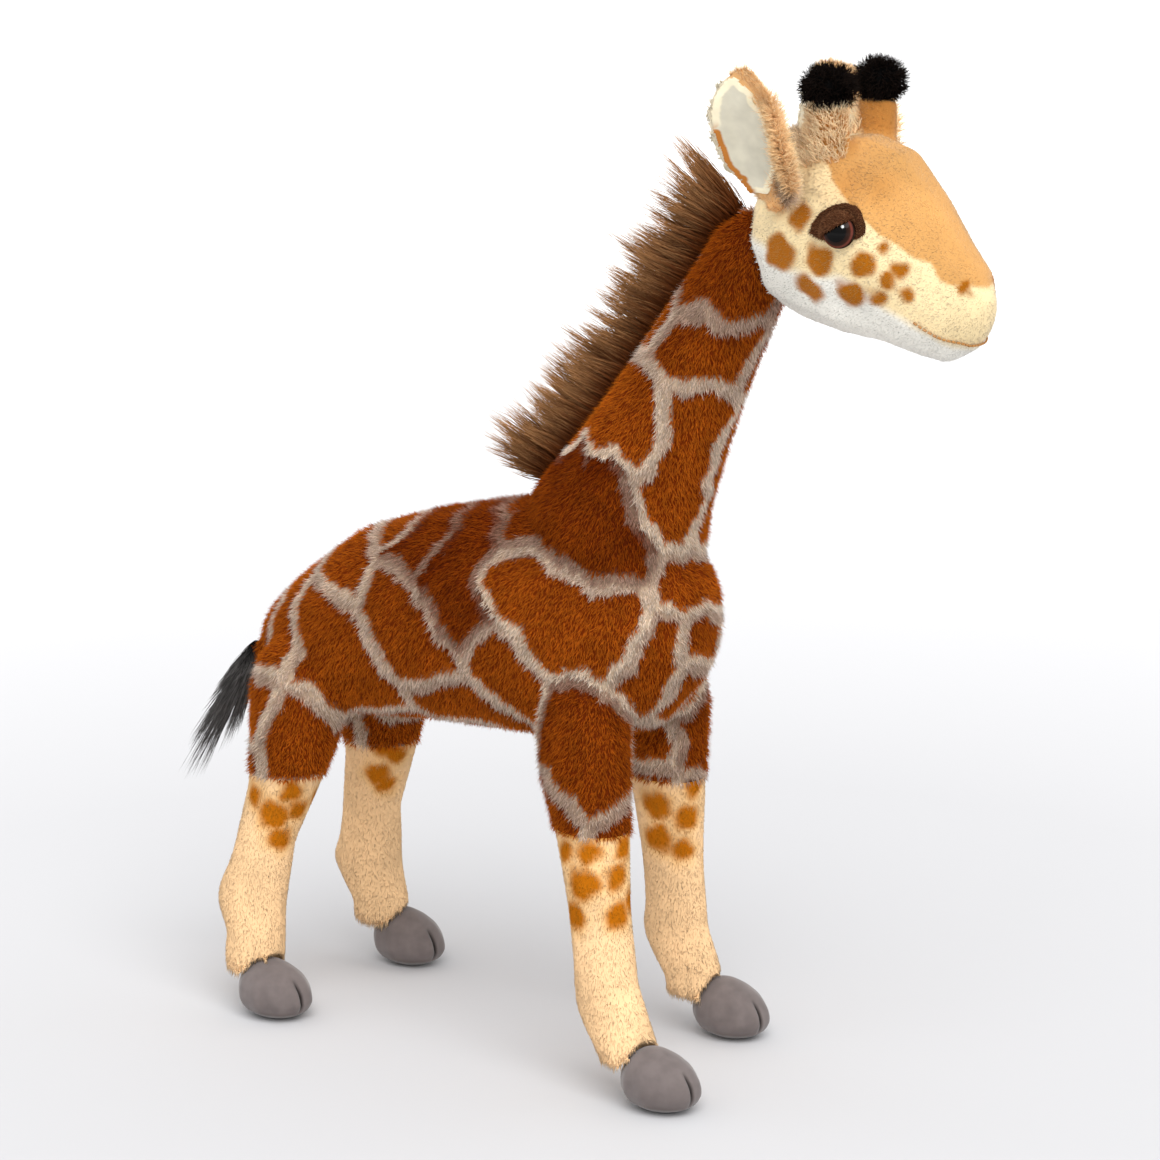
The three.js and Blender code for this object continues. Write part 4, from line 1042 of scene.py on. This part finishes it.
for seed, (side, way) in enumerate(sides.items(), 71):
    shown = numbers(frame["nodes"][f"{side}_eye"].data.vertices, "co", 3).mean(0)
    behind = numbers(frame["nodes"][f"{side}_eye_washer"].data.vertices, "co", 3).mean(0)
    axis = Vector(shown - behind).normalized()
    turn = axis.to_track_quat("Z", "Y")
    low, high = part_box(f"{side}_eye")
    middle = Vector(shown)
    middle += axis * ((max(way * low.x, way * high.x) - eye_height - way * middle.x) / abs(axis.x))
    middle_place, out = np.array(middle), np.array(axis)

    def facing_out(places):
        return (places * MM - middle_place) @ out > -velvet_depth

    bpy.ops.mesh.primitive_uv_sphere_add(segments=48, ring_count=24, radius=1, location=middle)
    eye = settled(f"{side}_eye_dome", turn, (eye_radius, eye_radius, eye_height))
    list_by_place(eye.data)
    eye.data.shade_smooth()
    places = numbers(eye.data.vertices, "co", 3) - middle_place
    flat = places - (places @ out)[:, None] * out
    paint(eye.data, "Iris", np.linalg.norm(flat, axis=1)[:, None] / eye_radius * np.ones(3))
    dressed(eye, eye_plastic, "eye_plastic", f"{side}_eye")
    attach(eye, "head")

    patch = stuffed_skin(f"{side}_eye_patch_backing", [f"{side}_eye_patch"], voxel=0.7, inset=0.2, rounds=3)
    places = numbers(patch.data.vertices, "co", 3) - middle_place
    places[:, 1] *= np.where(places[:, 1] < 0, patch_front, patch_behind)
    places[:, 2] *= np.where(places[:, 2] < 0, patch_below, patch_above)
    move_to(patch.data, places + middle_place)
    dressed(patch, eye_velvet, "dark_plush", f"{side}_eye_patch")
    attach(patch, "head")

    bpy.ops.mesh.primitive_uv_sphere_add(segments=40, ring_count=20, radius=1, location=middle)
    lid = settled(f"{side}_eyelid", turn, (eye_radius + lid_gap, eye_radius + lid_gap, eye_height + lid_gap))
    bpy.ops.object.mode_set(mode="EDIT")
    for place, way_out in ((middle + lid_rise * lid_brow, lid_brow), (middle - lid_depth * axis, axis)):
        bpy.ops.mesh.select_all(action="SELECT")
        bpy.ops.mesh.bisect(plane_co=place, plane_no=way_out, clear_inner=True)
    bpy.ops.object.mode_set(mode="OBJECT")
    wall = lid.modifiers.new("wall", "SOLIDIFY")
    wall.thickness = lid_wall
    wall.offset = 1
    bpy.ops.object.modifier_apply(modifier="wall")
    list_by_place(lid.data)
    dressed(lid, eye_velvet, "dark_plush")
    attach(lid, "head")

    for ground, name, keep, later in ((patch, "patch", clear_of(eye.data, velvet_gap), 0),
                                      (lid, "lid", facing_out, 2)):
        velvet = plant_pile(f"{side}_eye_{name}_velvet", ground, velvet_pile, velvet_nap, undyed,
                            seed + later, keep)
        dressed(velvet, eye_velvet, "dark_plush")
        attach(velvet, "head")


# Mane: a strip of long upright pile, set in the seam along the back of the neck. Its modacrylic hair is dark
# at the root and pale at the tip, and stands in ragged tufts.
mane_fur = plush("long_mane_fur", ("#54280c", "#cc9866"), [], uneven=0.3, mottle=12.0, tipped=2.6)
tuft_pull = 0.45
hair_stray = 0.9


def grow_hair(name, node, carrier, seed, density, tufts, reach, sweep, width, steps, shortest, rearward=-1):
    """Long hair where a CAD form stands: each hair grows from the nearest place on what carries it towards a
    random place on the form's face, its length some share of that way, swept a little to one side and drawn
    towards one of a few tufts. Hairs that are too short or don't point rearward enough are left out."""
    draw = np.random.default_rng(seed)
    ends = scatter(frame["nodes"][node].data, density, draw)[0]
    roots = np.array([carrier.find_nearest(Vector(end))[0] for end in ends])
    long = np.linalg.norm(ends - roots, axis=1)
    fit = (long > shortest * MM) & ((ends - roots)[:, 1] > rearward * long)
    ends, roots = ends[fit], roots[fit]
    heads = ends[draw.choice(len(ends), tufts)]
    mine = ((ends[:, None] - heads) ** 2).sum(-1).argmin(1)
    ends = ends + tuft_pull * (heads[mine] - ends) * draw.uniform(0.4, 1, (len(ends), 1))
    stretch = draw.uniform(*reach, (len(ends), 1)) * (1 + draw.normal(0, 0.1, tufts)[mine])[:, None]
    ends = roots + (ends - roots) * stretch
    share = np.linspace(0, 1, steps + 1)[None, :, None]
    stray = draw.normal(0, hair_stray * MM, (len(ends), 1, 3))
    spines = roots[:, None] + (ends - roots)[:, None] * share + stray * np.sin(share * math.pi)
    spines += np.array(sweep) * MM * share ** 2
    across = np.cross((ends - roots), draw.normal(0, 1, ends.shape))
    breadth = width * MM * draw.uniform(0.7, 1.3, len(ends))
    return weave_fibres(name, spines, breadth, across, undyed(ends), flat=0.7)


mane = grow_hair("mane_hair", "mane", form_surface, seed=81, density=1.3, tufts=120, reach=(0.75, 1.7),
                 sweep=(0, 6, -2), width=0.5, steps=4, shortest=14, rearward=0.55)
dressed(mane, mane_fur, "mane_fur", "mane")
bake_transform(mane)


# Tail: a thin sleeve of the spotted plush with a tassel of long black hair, grey and wispy at its ends, that
# spreads from a knot at the sleeve's end.
tail_hair = plush("long_tail_hair", ("#050404", "#807d7b"), [], uneven=0.35, mottle=12.0, rough=0.5,
                  tipped=2.8)
sleeve_pile = Pile(density=1.6, length=4.0, width=0.6, lean=55)
knot_radius = 4
knot_rise = 5

sleeve = stuffed_skin("tail_sleeve_backing", ["tail_sleeve"], voxel=1.1, inset=1.2, rounds=4)
paint(sleeve.data, "Coat", coat_dye_and_shade(places_of(sleeve.data)))
dressed(sleeve, coat_plush, "spotted_plush", "tail_sleeve")
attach(sleeve, "tail")
pile = plant_pile("tail_sleeve_pile", sleeve, sleeve_pile, coat_nap, coat_dye_and_shade, 91)
dressed(pile, coat_plush, "spotted_plush")
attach(pile, "tail")
low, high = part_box("tail_tuft")
knot_place = Vector((0, low.y + knot_radius * MM, high.z + knot_rise * MM))
bpy.ops.mesh.primitive_uv_sphere_add(segments=16, ring_count=10, radius=knot_radius * MM, location=knot_place)
knot = settled()
list_by_place(knot.data)
tassel = grow_hair("tail_hair", "tail_tuft", surface(knot), seed=92, density=0.5, tufts=18, reach=(0.5, 1.14),
                   sweep=(0, 0, -2), width=0.5, steps=7, shortest=8)
bpy.data.objects.remove(knot)
dressed(tassel, tail_hair, "black_fur", "tail_tuft")
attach(tassel, "tail")


# Hooves: stuffed balls of grey suede cloth, matt and even, flattened by the toy's weight. Each has a slit
# drawn in by a dark stitch at its front and a seam low round it.
hoof_suede = plush("grey_suede", ("#6e6563", "#6e6563"), [("#1e1816", "#1e1816"), ("#574640", "#574640")],
                   uneven=0.02, mottle=7.0, sheen=0.35)
slit_depth = 1.6
slit_width = 1.5
slit_shift = 3
slit_middle, slit_reach = 13, 9
hoof_seam = 4.5
for leg in legs:
    hoof = stuffed_skin(f"{leg}_hoof_suede", [f"{leg}_hoof"], voxel=0.9, inset=0, rounds=40)
    low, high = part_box(f"{leg}_hoof")
    middle = (low + high) / 2 / MM
    places = places_of(hoof.data)
    x, y, z = places.T
    slit = np.clip(1 - np.abs(x - middle.x + slit_shift) / slit_width, 0, 1) * fades(middle.y - y, 6)
    slit = slit * np.clip(1 - ((z - slit_middle) / slit_reach) ** 2, 0, 1)
    seam = 0.5 * np.clip(1 - np.abs(z - hoof_seam) / 2, 0, 1)
    places[:, 1] += slit_depth * slit
    move_to(hoof.data, places * MM)
    paint(hoof.data, "Coat", np.stack([np.clip(slit * 1.6, 0, 1), seam, slit * 0], 1))
    dressed(hoof, hoof_suede, "grey_suede", f"{leg}_hoof")
    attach(hoof, f"{leg}_leg")


# Wires and washers: bent galvanised steel wire with a dull spangle, and pressed nylon washers. They stay
# inside the stuffing, and the CAD pieces are shown as they are.
hidden = {
    "wire": speckled("galvanised_wire", ("#8d9194", "#b4b8ba"), 400.0, {"Metallic": 1.0, "Roughness": 0.4}),
    "washer": speckled("pressed_nylon", ("#d8d5cc", "#e8e6df"), 300.0, {"Roughness": 0.45}),
}
for name, node in frame["nodes"].items():
    finish = hidden.get(name.split("_")[-1])
    if finish:
        for slot in node.material_slots:
            slot.material = finish
bpy.data.objects.remove(form)


low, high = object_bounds()
